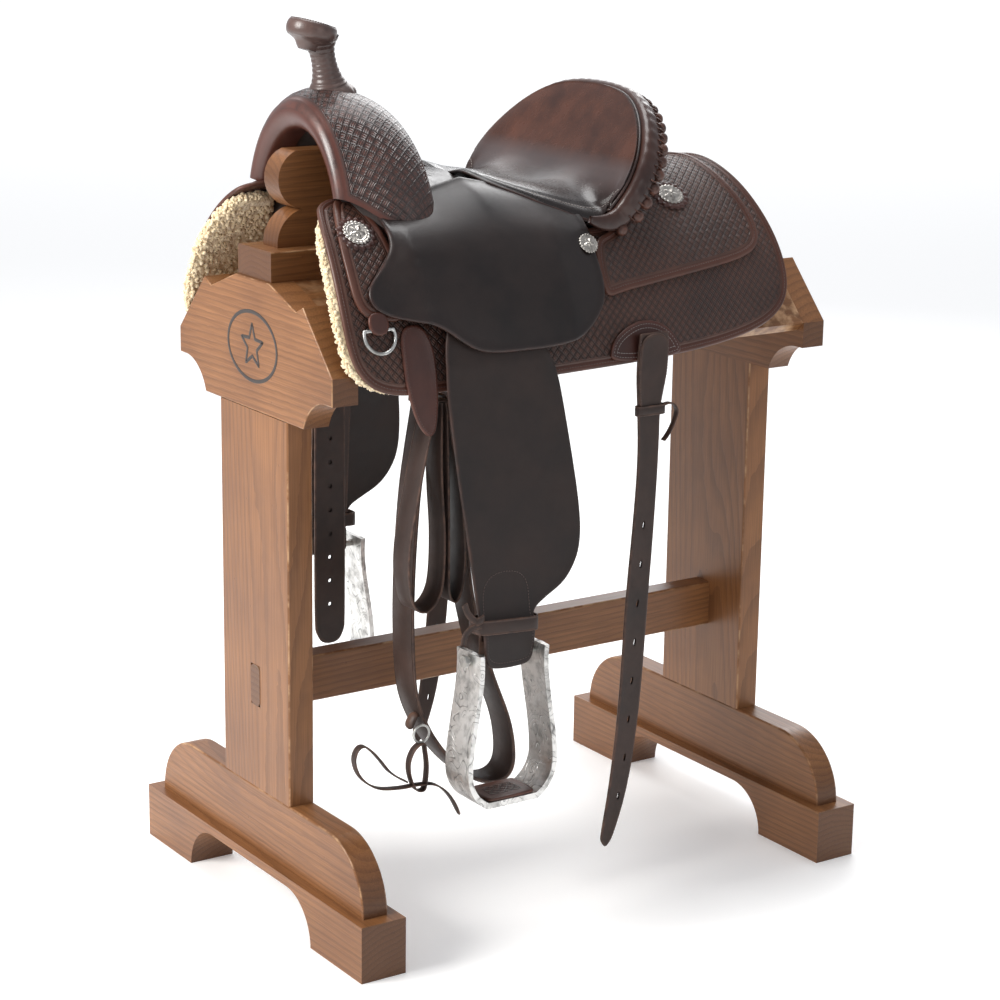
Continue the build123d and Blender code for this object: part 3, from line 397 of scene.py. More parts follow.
def chaikin(points, rounds=3, closed=True):
    line = np.asarray(points, float)
    for _ in range(rounds):
        after = np.roll(line, -1, axis=0) if closed else line[1:]
        before = line if closed else line[:-1]
        cut = np.empty((2 * len(before), line.shape[1]))
        cut[0::2] = 0.75 * before + 0.25 * after
        cut[1::2] = 0.25 * before + 0.75 * after
        line = cut if closed else np.vstack((line[:1], cut, line[-1:]))
    return line


def resample(line, step, closed=False):
    line = np.asarray(line, float)
    if closed:
        line = np.vstack((line, line[:1]))
    run = run_along(line)
    count = max(3, int(round(run[-1] / step)))
    at = np.linspace(0, run[-1], count + 1)
    if closed:
        at = at[:-1]
    return np.stack([np.interp(at, run, line[:, k]) for k in range(line.shape[1])], axis=1)


def smooth_line(points, step, closed=False):
    """A Catmull-Rom curve through the points, resampled evenly."""
    pts = np.asarray(points, float)
    ends = (pts[-1:], pts[:2]) if closed else (2 * pts[:1] - pts[1:2], 2 * pts[-1:] - pts[-2:-1])
    p = np.vstack((ends[0], pts, ends[1]))
    dense = []
    for k in range(len(p) - 3):
        t = np.linspace(0, 1, 24, endpoint=False)[:, None]
        a, b, c, d = p[k:k + 4]
        dense.append(0.5 * (2 * b + (c - a) * t + (2 * a - 5 * b + 4 * c - d) * t ** 2
                            + (3 * b - a - 3 * c + d) * t ** 3))
    dense.append(p[-2:-1])
    return resample(np.vstack(dense), step)


def distance_to(line, points):
    """Least distance from each point to a closed 2-D polyline."""
    a = line
    b = np.roll(line, -1, axis=0)
    ab = b - a
    best = np.full(len(points), 1e9)
    for start in range(0, len(points), 1500):
        p = points[start:start + 1500]
        ap = p[:, None, :] - a[None]
        t = np.clip((ap * ab).sum(-1) / np.maximum((ab * ab).sum(-1), 1e-9), 0, 1)
        gap = np.linalg.norm(ap - t[..., None] * ab, axis=-1)
        best[start:start + 1500] = gap.min(axis=1)
    return best


def inside(line, points):
    """Which points lie inside a closed 2-D polyline."""
    x, y = points[:, 0], points[:, 1]
    hit = np.zeros(len(points), bool)
    x2, y2 = np.roll(line[:, 0], -1), np.roll(line[:, 1], -1)
    for (xa, ya), xb, yb in zip(line, x2, y2):
        cross = (ya > y) != (yb > y)
        hit ^= cross & (x < (xb - xa) * (y - ya) / (yb - ya + 1e-12) + xa)
    return hit


PLAIN_RINGS = (0.5, 1.2, 2.2, 3.6, 6.0)
TOOLED_RINGS = (0.5, 1.2, 2.2, 3.6, 5.5, 7.4, 8.6, 9.4, 10.2, 11.0, 12.0, 13.0, 14.2, 16.5)


def tooled_relief(d):
    """Raised burnished border, a groove and a cord line inside an edge, by distance from it."""
    lip = 0.9 * np.clip(1 - ((d - 4.6) / 4.8) ** 2, 0, 1)
    groove = -0.7 * np.exp(-((d - 9.8) / 0.8) ** 2)
    cord = 0.75 * np.exp(-((d - 12.2) / 1.1) ** 2)
    return lip + groove + cord


def plain_relief(d):
    return 0.5 * np.clip(1 - ((d - 3.4) / 3.2) ** 2, 0, 1) - 0.5 * np.exp(-((d - 7.2) / 0.7) ** 2)


def cut_ring(outline, rounds, step):
    """An outline rounded off and evenly sampled, anticlockwise, with its inward normals."""
    ring = resample(chaikin(outline, rounds), step, closed=True)
    ahead = np.roll(ring, -1, axis=0)
    if np.sum(ring[:, 0] * ahead[:, 1] - ahead[:, 0] * ring[:, 1]) < 0:
        ring = ring[::-1]
    tangent = unit(np.roll(ring, -1, axis=0) - np.roll(ring, 1, axis=0))
    return ring, np.stack((-tangent[:, 1], tangent[:, 0]), axis=1)


def panel(name, outline, form, inner, outer, body, material, rings=PLAIN_RINGS, relief=None,
          spacing=7.0, step=3.0, rounds=3, holes=()):
    """A leather piece cut to an outline (u, v), laid on form(u, v, offset), with rounded edges.

    inner and outer are the offsets of its two faces. rings are the distances from the edge at
    which it gets extra points, and spacing is the grid's further in."""
    ring0, inward = cut_ring(outline, rounds, step)
    free = [ring0 + inward * d for d in rings]
    lo, hi = ring0.min(axis=0), ring0.max(axis=0)
    gu, gv = np.meshgrid(np.arange(lo[0], hi[0], spacing), np.arange(lo[1], hi[1], spacing * 0.87))
    gu = gu + (np.arange(gu.shape[0]) % 2)[:, None] * spacing / 2
    grid = np.stack((gu.ravel(), gv.ravel()), axis=1)
    hole_lines = [resample(np.asarray(h, float), 1.2, closed=True) for h in holes]
    for line in hole_lines:
        free.append(line)
    free = np.vstack(free)
    keep = inside(ring0, free)
    far = distance_to(ring0, free)
    ring_of = np.concatenate([np.full(len(ring0), d) for d in rings]
                             + [np.full(len(h), 0.0) for h in hole_lines])
    free = free[keep & (far > ring_of * 0.93 - 0.02)]
    grid = grid[inside(ring0, grid)]
    grid = grid[distance_to(ring0, grid) > rings[-1] + spacing * 0.45]
    flat = np.vstack((ring0, free, grid))
    count = len(ring0)
    made = geometry.delaunay_2d_cdt([Vector(p) for p in flat], [], [list(range(count))], 1, 1e-4)
    uv = np.array([tuple(p) for p in made[0]])
    tris = [list(f) for f in made[2]]
    for line in hole_lines:
        mid = np.array([uv[f].mean(axis=0) for f in tris])
        drop = inside(line, mid)
        tris = [f for f, gone in zip(tris, drop) if not gone]
    d = distance_to(ring0, uv)
    middle, half = (inner + outer) / 2, (outer - inner) / 2
    bulge = np.sqrt(np.clip(1 - (1 - np.clip(d / max(half, 1.0), 0, 1)) ** 2, 0, 1))
    lift = relief(d) if relief else 0.0
    top = form(uv[:, 0], uv[:, 1], middle + half * bulge + lift)
    under = form(uv[:, 0], uv[:, 1], middle - half * bulge)
    n = len(uv)
    rim = d < 1e-3
    twin = np.where(rim, np.arange(n), np.arange(n) + n)
    points = np.vstack((top, under))
    faces = list(tris) + [[int(twin[i]) for i in reversed(f)] for f in tris]
    used = np.zeros(2 * n, bool)
    for f in faces:
        used[f] = True
    new = np.cumsum(used) - 1
    faces = [[int(new[i]) for i in f] for f in faces]
    faces = outward(points[used], faces)
    return link_mesh(name, points[used], faces, body, material, uv=np.vstack((uv, uv))[used],
                     edge=np.r_[d, d][used])


def outward(points, faces):
    """Turn all the faces over if the closed mesh has its insides out."""
    volume = 0.0
    for f in faces:
        for k in range(1, len(f) - 1):
            a, b, c = points[f[0]], points[f[k]], points[f[k + 1]]
            volume += float(np.dot(a, np.cross(b, c)))
    return faces if volume >= 0 else [list(reversed(f)) for f in faces]


def grid_faces(rows, cols, wrap_cols=False, wrap_rows=False):
    faces = []
    for r in range(rows if wrap_rows else rows - 1):
        for c in range(cols if wrap_cols else cols - 1):
            r2, c2 = (r + 1) % rows, (c + 1) % cols
            faces.append([r * cols + c, r * cols + c2, r2 * cols + c2, r2 * cols + c])
    return faces


def surface(name, rows, body, material, uv=None, edge=None, wrap_cols=False, caps=False,
            wrap_rows=False):
    """A skin through rows of points: an array (row, column, 3). edge is per point, or one value."""
    rows = np.asarray(rows, float)
    r, c = rows.shape[:2]
    faces = grid_faces(r, c, wrap_cols, wrap_rows)
    if caps:
        faces += [list(range(c)), [(r - 1) * c + k for k in reversed(range(c))]]
    points = rows.reshape(-1, 3)
    if caps or (wrap_cols and wrap_rows):
        faces = outward(points, faces)
    return link_mesh(name, points, faces, body, material,
                     uv=None if uv is None else np.asarray(uv).reshape(-1, 2),
                     edge=None if edge is None else np.broadcast_to(edge, (r, c)).ravel())


def frames_along(path, up=(0, 0, 1), closed=False):
    """Sideways and upward unit vectors at each point of a 3-D path."""
    path = np.asarray(path, float)
    if closed:
        tangent = np.roll(path, -1, axis=0) - np.roll(path, 1, axis=0)
    else:
        tangent = np.gradient(path, axis=0)
    tangent = unit(tangent)
    side = unit(np.cross(tangent, np.asarray(up, float)))
    return side, np.cross(side, tangent)


def sweep(name, path, section, body, material, up=(0, 0, 1), closed=False, scale=None):
    """A closed section (sideways, upward) carried along a 3-D path. Wear is on its narrow edges."""
    path = np.asarray(path, float)
    side, top = frames_along(path, up, closed)
    section = np.asarray(section, float)
    k = np.ones((len(path), 2)) if scale is None else np.asarray(scale, float)
    rows = (path[:, None] + section[None, :, :1] * k[:, None, :1] * side[:, None]
            + section[None, :, 1:] * k[:, None, 1:] * top[:, None])
    uv = uv_grid(run_along(section), run_along(path))
    reach = np.abs(section)
    wide = reach[:, int(reach[:, 1].max() > reach[:, 0].max())]
    return surface(name, rows, body, material, uv=uv, edge=wide.max() - wide, wrap_cols=True,
                   caps=not closed, wrap_rows=closed)


def strap_section(wide, thick, groove=3.2):
    """A flat strap's section: rounded edges and a shallow creased line inside each one."""
    w, t = wide / 2, thick / 2
    upper = [(-w, 0), (-w + 0.25 * t, 0.65 * t), (-w + t, t), (-w + groove - 0.8, t),
             (-w + groove, t - 0.35), (-w + groove + 0.8, t), (0, t)]
    upper += [(-x, y) for x, y in reversed(upper[:-1])]
    return upper + [(x, -y) for x, y in reversed(upper[1:-1])]


def upright_section(wide, thick, groove=3.2):
    """The same section with the strap's width upward."""
    return [(y, x) for x, y in strap_section(wide, thick, groove)]


def tube_faces(start, rings, sides):
    """Faces of a capped tube whose rings of points begin at index start."""
    faces = [[start + i * sides + j, start + i * sides + (j + 1) % sides,
              start + (i + 1) * sides + (j + 1) % sides, start + (i + 1) * sides + j]
             for i in range(rings - 1) for j in range(sides)]
    return faces + [[start + j for j in reversed(range(sides))],
                    [start + (rings - 1) * sides + j for j in range(sides)]]


def blobs(name, places, normals, sizes, body, material, squash=0.6, rings=4, around=7, wobble=0.0):
    """Many small domes or beads in one mesh."""
    points, faces = [], []
    for place, normal, size in zip(places, normals, sizes):
        normal = normal / np.linalg.norm(normal)
        a = np.cross(normal, (0.31, 0.2, 0.93))
        a /= np.linalg.norm(a)
        b = np.cross(normal, a)
        start = len(points)
        for i in range(1, rings):
            lat = math.pi * i / rings
            for j in range(around):
                lon = 2 * math.pi * (j + 0.5 * (i % 2)) / around
                r = size * (1 + wobble * (rng.random() - 0.5))
                points.append(place + r * math.sin(lat) * (math.cos(lon) * a + math.sin(lon) * b)
                              + r * squash * math.cos(lat) * normal)
        top, foot = len(points), len(points) + 1
        points.append(place + size * squash * normal)
        points.append(place - size * squash * normal)
        for i in range(rings - 2):
            for j in range(around):
                k = start + i * around
                faces.append([k + j, k + around + j, k + around + (j + 1) % around,
                              k + (j + 1) % around])
        last = start + (rings - 2) * around
        for j in range(around):
            faces.append([top, start + j, start + (j + 1) % around])
            faces.append([foot, last + (j + 1) % around, last + j])
    return link_mesh(name, points, faces, body, material)


STITCH_SIDES, STITCH_RISE = 6, 0.15
# along the stitch and the radius there, as shares of its length and radius
STITCH_BARREL = ((-0.5, 0.35), (-0.3, 0.9), (0, 1.0), (0.3, 0.9), (0.5, 0.35))


def stitches(name, line, normals, body, material, pitch=4.2, length=3.1, radius=0.5):
    """A row of thread stitches, each a little barrel lying on the leather."""
    run = run_along(line)
    points, faces = [], []
    for mid in np.arange(pitch / 2, run[-1], pitch):
        at = [np.array([np.interp(mid + s, run, line[:, k]) for k in range(3)])
              for s in (-length / 2, 0, length / 2)]
        n = np.array([np.interp(mid, run, normals[:, k]) for k in range(3)])
        n /= np.linalg.norm(n)
        t = at[2] - at[0]
        t /= np.linalg.norm(t) + 1e-9
        b = np.cross(n, t)
        start = len(points)
        for f, r in STITCH_BARREL:
            c = at[1] + t * f * length + n * (STITCH_RISE - 0.5 * radius * (2 * f) ** 4)
            for j in range(STITCH_SIDES):
                lon = 2 * math.pi * j / STITCH_SIDES
                points.append(c + radius * r * (math.cos(lon) * b + math.sin(lon) * n))
        faces += tube_faces(start, len(STITCH_BARREL), STITCH_SIDES)
    return link_mesh(name, points, faces, body, material)


def form_line(form, uv, offset):
    """Points and outward normals of a line of (u, v) drawn on a form."""
    uv = np.asarray(uv, float)
    at = form(uv[:, 0], uv[:, 1], offset)
    du = form(uv[:, 0] + 1, uv[:, 1], offset) - form(uv[:, 0] - 1, uv[:, 1], offset)
    dv = form(uv[:, 0], uv[:, 1] + 1, offset) - form(uv[:, 0], uv[:, 1] - 1, offset)
    normal = np.cross(du, dv)
    out = form(uv[:, 0], uv[:, 1], offset + 1) - at
    normal *= np.sign((normal * out).sum(axis=1))[:, None]
    return at, unit(normal)


def inset_line(outline, by, step=2.0):
    """The outline moved inward, without the points that come too near another side."""
    ring, inward = cut_ring(outline, 3, step)
    moved = ring + by * inward
    return moved[distance_to(ring, moved) > by * 0.9]


# ============================== the saddle's side form ==========================================
# the saddle's sides spring from SPRING_Z and rise RISE to the ridge; v is V_UNIT times the angle
SPRING_Z, RISE, V_UNIT = 720.0, 290.0, 265.0


def half_width(x):
    return 243.0 - 0.000078 * (x + 60.0) ** 2 - 0.000022 * np.maximum(0.0, x) ** 2


def side_form(side):
    def form(u, v, n):
        turn = v / V_UNIT
        return np.stack((u, side * (half_width(u) + n) * np.cos(turn),
                         SPRING_Z + (RISE + n) * np.sin(turn)), axis=-1)
    return form


def to_v(z):
    """The form's v at a height."""
    return V_UNIT * math.asin(max(-1.0, min(0.985, (z - SPRING_Z) / RISE)))


def on_form(outline):
    """A side-view outline (x, z) as (u, v) of the side form, kept off the ridge."""
    return [(x, to_v(z)) for x, z in outline]


# ============================== materials =======================================================
TOOLED = leather("tooled_leather", (0.050, 0.0225, 0.016), (0.100, 0.045, 0.031), 0.38,
                 cell=0.0085, worn=(0.15, 0.047, 0.028))
TOOLED_FINE = leather("swell_leather", (0.036, 0.015, 0.012), (0.075, 0.031, 0.023), 0.33,
                      cell=0.0102, border=0.0135, worn=(0.17, 0.048, 0.03), coat=0.3, spec=0.45)
SMOOTH = leather("smooth_leather", (0.009, 0.0058, 0.0055), (0.018, 0.0105, 0.009), 0.36,
                 worn=(0.09, 0.034, 0.024), coat=0.16)
FENDER = leather("fender_leather", (0.013, 0.0078, 0.0068), (0.026, 0.0145, 0.0115), 0.48,
                 worn=(0.08, 0.034, 0.024), coat=0.05)
RED = leather("red_leather", (0.036, 0.013, 0.010), (0.070, 0.022, 0.015), 0.38,
              worn=(0.18, 0.06, 0.034), coat=0.2)
STRAP = leather("strap_leather", (0.022, 0.0125, 0.0098), (0.048, 0.027, 0.021), 0.5,
                worn=(0.15, 0.08, 0.055), worn_by=0.8, coat=0.05)
ROLL = leather("roll_leather", (0.026, 0.0105, 0.008), (0.054, 0.021, 0.014), 0.34,
               worn=(0.20, 0.08, 0.05), coat=0.22, spec=0.35)
HORN = leather("horn_leather", (0.050, 0.030, 0.026), (0.105, 0.062, 0.052), 0.34,
               worn=(0.24, 0.12, 0.09), coat=0.3, spec=0.45)
STEEL = metal("steel", (0.62, 0.62, 0.60), 0.28)
SILVER = metal("silver", (0.50, 0.47, 0.43), 0.27, tarnish=(0.035, 0.03, 0.027))
ALUMINIUM = metal("stirrup_aluminium", (0.74, 0.73, 0.71), 0.34, tarnish=(0.22, 0.21, 0.20),
                  cell=0.022)
WOOL = wool("fleece")
THREAD = thread("grey_thread", (0.30, 0.26, 0.24))
DARK_THREAD = thread("dark_thread", (0.10, 0.06, 0.05))


def seat_colour_and_painted_sheen(s, colour, rough):
    """Brown dish, a painted blue-grey sheen band partway up it, and a near-black front."""
    low = s.attribute("low")
    shade = s.mix(s.ramp(low, 0.25, 0.85), colour, (0.012, 0.0085, 0.008))
    # painted sheen: a blue-grey band of reflected light mixed into the dish's colour
    band = s.mul(s.ramp(low, 0.28, 0.42), s.ramp(low, 0.72, 0.5))
    shade = s.mix(s.mul(band, 0.35), shade, (0.10, 0.095, 0.10))
    return shade, s.sub(rough, s.mul(band, 0.10))


SEAT = leather("seat_leather", (0.034, 0.012, 0.0075), (0.084, 0.028, 0.0145), 0.25,
               worn=(0.20, 0.08, 0.045), coat=0.22, spec=0.34, extra=seat_colour_and_painted_sheen)


# ============================== stand ===========================================================
def paint(node, material):
    """A procedural material for a CAD node that stays in view."""
    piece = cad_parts[node]
    piece = bpy.data.objects[piece] if isinstance(piece, str) else piece
    piece.data.materials.clear()
    piece.data.materials.append(material)


for sign, word in ((-1, "front"), (1, "rear")):
    x = sign * 0.3835
    paint(f"{word}_base_board", wood(f"{word}_base_wood", "Y", (x + 0.11, 0, -0.07), 1 + sign))
    paint(f"{word}_base_cap", wood(f"{word}_cap_wood", "Y", (x + 0.09, 0, 0.30), 4 + sign))
    paint(f"{word}_post", wood(f"{word}_post_wood", "Z", (x + 0.075, 0.02 * sign, 0), 7 + sign))
    paint(f"{word}_head_plate", wood(f"{word}_head_wood", "Y", (x + 0.10, 0, 0.66), 10 + sign))
paint("stretcher", wood("stretcher_wood", "X", (0, 0.07, 0.24), 13, thin="Y"))
paint("ridge_rail", wood("rail_wood", "X", (0, 0.02, 0.80), 14, thin="Z"))
paint("spine_board", wood("spine_wood", "X", (0, 0.09, 0.97), 15, thin="Y"))
paint("roof_boards", wood("roof_wood", "X", (0, 0, 0.70), 16, tone=0.8, thin="Z"))
paint("head_dowels", wood("dowel_wood", "X", (0, 0, 0), 17, 0.003, tone=0.7))
paint("lag_screws", STEEL)
DARK_HIDE = thread("dark_rawhide", (0.030, 0.016, 0.012))
for node in ("tree_fork", "tree_bars", "cantle_board"):
    paint(node, DARK_HIDE)
paint("ground_seat", STEEL)

# a plain oval and a plain star burned into the front head plate
CHAR = thread("burned_wood", (0.028, 0.018, 0.014))
PLATE_X, BRAND_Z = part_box("front_head_plate")[0][0] * 1000.0, 785.0


def burned_line(name, points, wide):
    """A shallow burned groove: a dark flat band that lies on the plate's front face."""
    path = [(PLATE_X - 0.05, y, z) for y, z in points]
    section = [(-wide / 2, -0.3), (wide / 2, -0.3), (wide / 2, 0.15), (wide / 2 - 0.4, 0.3),
               (-wide / 2 + 0.4, 0.3), (-wide / 2, 0.15)]
    piece = sweep(name, path, section, "stand", CHAR, up=(-1, 0, 0), closed=True)
    return piece


OVAL_HALF_WIDE, OVAL_HALF_HIGH, STAR_TIP, STAR_NOTCH = 66, 46, 30.0, 13.0
burned_line("burned_oval", [(OVAL_HALF_WIDE * math.cos(a), BRAND_Z + OVAL_HALF_HIGH * math.sin(a))
                            for a in full_turn(96)], 5.0)
star = []
for k in range(10):
    a, r = math.pi / 2 + k * math.pi / 5, (STAR_TIP, STAR_NOTCH)[k % 2]
    star.append((r * math.cos(a), BRAND_Z + r * math.sin(a)))
burned_line("burned_star", resample(np.array(star), 1.5, closed=True), 4.6)

# ============================== skirts, wool, jockeys ===========================================
SKIRT = [(-296, 932), (-302, 990), (-360, 985), (-374, 966), (-383, 925), (-388, 875), (-388, 830),
         (-382, 795), (-364, 770), (-338, 757), (-305, 752), (-200, 753), (-77, 757), (55, 760),
         (162, 766), (236, 776), (285, 789), (317, 809), (331, 834), (334, 865), (331, 900),
         (322, 940), (309, 980), (292, 1003), (262, 1006), (196, 1006), (196, 932)]
REAR_JOCKEY = [(4, 845), (40, 852), (68, 855), (140, 863), (215, 871), (262, 878), (288, 889),
               (298, 907), (297, 930), (288, 958), (276, 984), (262, 1003), (196, 1006), (136, 1004),
               (124, 985), (104, 958), (80, 938), (50, 926), (10, 915)]
FRONT_JOCKEY = [(-338, 984), (-352, 968), (-364, 935), (-368, 900), (-368, 870), (-358, 853),
                (-340, 846), (-296, 843), (-290, 935), (-312, 985)]
RIGGING = [(3, 762), (6, 786), (22, 801), (45, 811), (65, 814), (88, 810), (108, 798), (121, 780),
           (124, 762)]
RED_STRAP = [(-313, 842), (-266, 835), (-266, 712), (-277, 693), (-296, 712), (-308, 745),
             (-314, 780)]


def skirt_relief(d):
    return tooled_relief(d) + 0.5 * np.exp(-((d - 2.4) / 0.7) ** 2)


for side, word in SIDES:
    form = side_form(side)
    skirt = panel(f"{word}_skirt_leather", on_form(SKIRT), form, -5.0, 0.0, "saddle", TOOLED,
                  TOOLED_RINGS, skirt_relief)
    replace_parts(skirt, f"{word}_skirt")
    rear = panel(f"{word}_rear_jockey", on_form(REAR_JOCKEY), form, 0.3, 5.2, "saddle", TOOLED,
                 TOOLED_RINGS, tooled_relief)
    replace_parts(rear, "rear_jockeys")
    front = panel(f"{word}_front_jockey", on_form(FRONT_JOCKEY), form, 0.3, 5.0, "saddle", TOOLED,
                  TOOLED_RINGS, tooled_relief)
    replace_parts(front, "front_jockeys")
    strap = panel(f"{word}_rigging_strap", on_form(RED_STRAP), form, 0.3, 3.8, "saddle", RED,
                  PLAIN_RINGS, plain_relief)
    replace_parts(strap, "rigging_straps")
    plate = panel(f"{word}_rear_rigging", on_form(RIGGING), form, 0.3, 3.6, "saddle", RED,
                  PLAIN_RINGS, plain_relief)
    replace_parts(plate, "rear_rigging_plates")
    for outline, by, lift, tag, pitch in ((RIGGING, 4.5, 3.6, "rigging", 4.4),
                                          (RIGGING, 9.5, 3.7, "rigging_inner", 4.4),
                                          (RED_STRAP, 4.0, 3.8, "strap", 4.0),
                                          (REAR_JOCKEY, 7.0, 6.0, "rear_jockey", 4.4),
                                          (SKIRT, 6.2, 0.9, "skirt", 4.4)):
        line, normals = form_line(form, inset_line(on_form(outline), by), lift)
        stitches(f"{word}_{tag}_stitching", line, normals, "saddle",
                         THREAD if "rigging" in tag else DARK_THREAD, pitch=pitch)


# ---- shearling lining: a thick curly layer inside the skirts, its fringe past the front edge ----
WOOL_CUT = [(-296, 925), (-304, 978), (-362, 976), (-380, 950), (-390, 905), (-393, 840),
            (-386, 796), (-366, 772), (-338, 760), (-305, 756), (-77, 761), (162, 771), (236, 781),
            (282, 794), (309, 813), (322, 836), (326, 865), (323, 905), (313, 945), (299, 985),
            (262, 1000), (196, 1003), (196, 925)]


WOOL_DEEP, WOOL_SHALLOW, CURL_DEPTH, TUFT_TRIES = -17.5, -5.2, 2.2, 2300


def curls(u, v, side):
    """How far the wool's curly face stands out or in."""
    return (CURL_DEPTH * np.sin(u * 0.71 + 1.3 * np.sin(v * 0.43)) * np.sin(v * 0.66 + np.sin(u * 0.37))
            + 1.4 * np.sin(u * 1.63 + v * 0.9 + side) * np.sin(v * 1.41 - u * 0.55))


for side, word in SIDES:
    form = side_form(side)

    def woolly(u, v, n, form=form, side=side):
        deep = np.clip((-8.0 - n) / 8.0, 0, 1)
        return form(u, v, n + deep * (curls(u, v, side) - CURL_DEPTH))
    lining = panel(f"{word}_fleece", on_form(WOOL_CUT), woolly, WOOL_DEEP, WOOL_SHALLOW, "saddle",
                   WOOL, (1.2, 2.6, 4.4, 6.6), None, spacing=4.2, step=3.2)
    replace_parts(lining, "fleece_lining")
    places, normals, sizes = [], [], []
    edge_line = inset_line(on_form(WOOL_CUT), 1.5, step=2.1)
    # a fringe round the edge, thick at the front where it shows
    for u, v in edge_line:
        front = u < -300
        if not front and rng.random() < 0.25:
            continue
        for _ in range(4 if front else 2):
            out = rng.uniform(-3.5, 1.0 if front else -1.0)
            n = rng.uniform(-16.5, -6.5)
            uu = u + (rng.uniform(-2.0, 2.0) if not front else out)
            p = form(np.array([uu]), np.array([v + rng.uniform(-1.5, 1.5)]), n)[0]
            places.append(p)
            normals.append(np.array([-1.0 if front else 0.1, side * rng.uniform(-0.5, 0.6),
                                     rng.uniform(-0.8, 0.8) - (0 if front else 0.5)]))
            sizes.append(rng.uniform(1.7, 3.4))
    # tufts on the face that shows through the front of the arch
    for _ in range(TUFT_TRIES):
        u = rng.uniform(-386, -150)
        v = rng.uniform(to_v(752), to_v(965))
        if not inside(np.array(on_form(WOOL_CUT)), np.array([[u, v]]))[0]:
            continue
        deep = (WOOL_DEEP + float(curls(np.array([u]), np.array([v]), side)[0]) - CURL_DEPTH
                + 1.2)
        p = form(np.array([u]), np.array([v]), deep)[0]
        places.append(p)
        normals.append(np.array([rng.uniform(-0.6, 0.6), -side, rng.uniform(-0.7, 0.5)]))
        sizes.append(rng.uniform(2.0, 4.4))
    tufts = blobs(f"{word}_fleece_tufts", places, normals, sizes, "saddle", WOOL, squash=0.95,
                  wobble=0.5)

# ---- seat jockey: from under the padded seat, over the stirrup leathers, down the side ----------
# the padded seat's top as (x, ((y, z) from the middle out)), and then the seat jockey: how far it
# lies off the side form at each x, the heights where it follows it, and its (y, z) further in
SEAT_TOPS = ((-146.0, ((0.0, 1003.0), (55.0, 1012.0), (104.0, 998.0), (150.0, 975.0))),
             (-60.0, ((0.0, 975.0), (70.0, 986.0), (128.0, 976.0), (178.0, 944.0))),
             (20.0, ((0.0, 966.0), (80.0, 974.0), (140.0, 962.0), (186.0, 930.0))),
             (40.0, ((0.0, 969.0), (84.0, 977.0), (146.0, 962.0), (188.0, 928.0))))
JOCKEY_LIFT = ((-352.0, 5.6), (-322.0, 7.0), (-282.0, 26.0), (-68.0, 26.0), (15.0, 10.0))
SIDE_LEVELS = (780.0, 800.0, 820.0, 845.0, 870.0, 892.0, 910.0)
JOCKEY_INNER = {-352.0: ((171, 925), (162, 938), (151, 950), (137, 963), (120, 976)),
                -318.0: ((177, 925), (167, 938), (155, 950), (138, 963), (120, 972)),
                -285.0: ((206, 925), (192, 940), (176, 952), (150, 962), (120, 972)),
                -215.0: ((205, 925), (190, 943), (170, 958), (140, 976), (110, 992)),
                -146.0: ((203, 926), (187, 945), (160, 967), (128, 986), (90, 1001)),
                -60.0: ((204, 924), (190, 939), (167, 953), (128, 973), (88, 981)),
                15.0: ((189, 922), (182, 930), (163, 946), (132, 962), (90, 970))}
# a table of the jockey's cross sections: TABLE_S even steps along each one
TABLE_X = np.linspace(-352.0, 16.0, 93)
TABLE_S = 160


def jockey_tables():
    lengths, ys, zs = [], [], []
    lift_x, lift_n = zip(*JOCKEY_LIFT)
    keys = sorted(JOCKEY_INNER)
    for x in TABLE_X:
        n = np.interp(x, lift_x, lift_n)
        wide = half_width(x) + n
        points = [(wide * math.sqrt(1 - ((z - SPRING_Z) / (RISE + n)) ** 2), z) for z in SIDE_LEVELS]
        for k in range(5):
            points.append((np.interp(x, keys, [JOCKEY_INNER[key][k][0] for key in keys]),
                           np.interp(x, keys, [JOCKEY_INNER[key][k][1] for key in keys])))
        line = smooth_line(points, 1.0)
        run = run_along(line)
        at = np.linspace(0, run[-1], TABLE_S)
        lengths.append(run[-1])
        ys.append(np.interp(at, run, line[:, 0]))
        zs.append(np.interp(at, run, line[:, 1]))
    return np.array(lengths), np.array(ys), np.array(zs)


JOCKEY_LENGTH, JOCKEY_Y, JOCKEY_Z = jockey_tables()
JOCKEY_SPAN = float(JOCKEY_LENGTH.mean())


def table_look(table, u, v):
    """The table's value at x = u, v along the section, read between its entries."""
    a = np.clip((u - TABLE_X[0]) / (TABLE_X[1] - TABLE_X[0]), 0, len(TABLE_X) - 1.001)
    b = np.clip(v / JOCKEY_SPAN * (TABLE_S - 1), 0, TABLE_S - 1.001)
    i, j = a.astype(int), b.astype(int)
    f, g = a - i, b - j
    return ((table[i, j] * (1 - g) + table[i, j + 1] * g) * (1 - f)
            + (table[i + 1, j] * (1 - g) + table[i + 1, j + 1] * g) * f)


def jockey_form(side):
    def form(u, v, n):
        y, z = table_look(JOCKEY_Y, u, v), table_look(JOCKEY_Z, u, v)
        dy = table_look(JOCKEY_Y, u, v + 3) - table_look(JOCKEY_Y, u, v - 3)
        dz = table_look(JOCKEY_Z, u, v + 3) - table_look(JOCKEY_Z, u, v - 3)
        size = np.hypot(dy, dz)
        return np.stack((u, side * (y + n * dz / size), z - n * dy / size), axis=-1)
    return form


def jockey_v(x, z):
    """The v at which the jockey's section at x has height z."""
    row = int(np.argmin(np.abs(TABLE_X - x)))
    return float(np.interp(z, JOCKEY_Z[row], np.linspace(0, JOCKEY_SPAN, TABLE_S)))


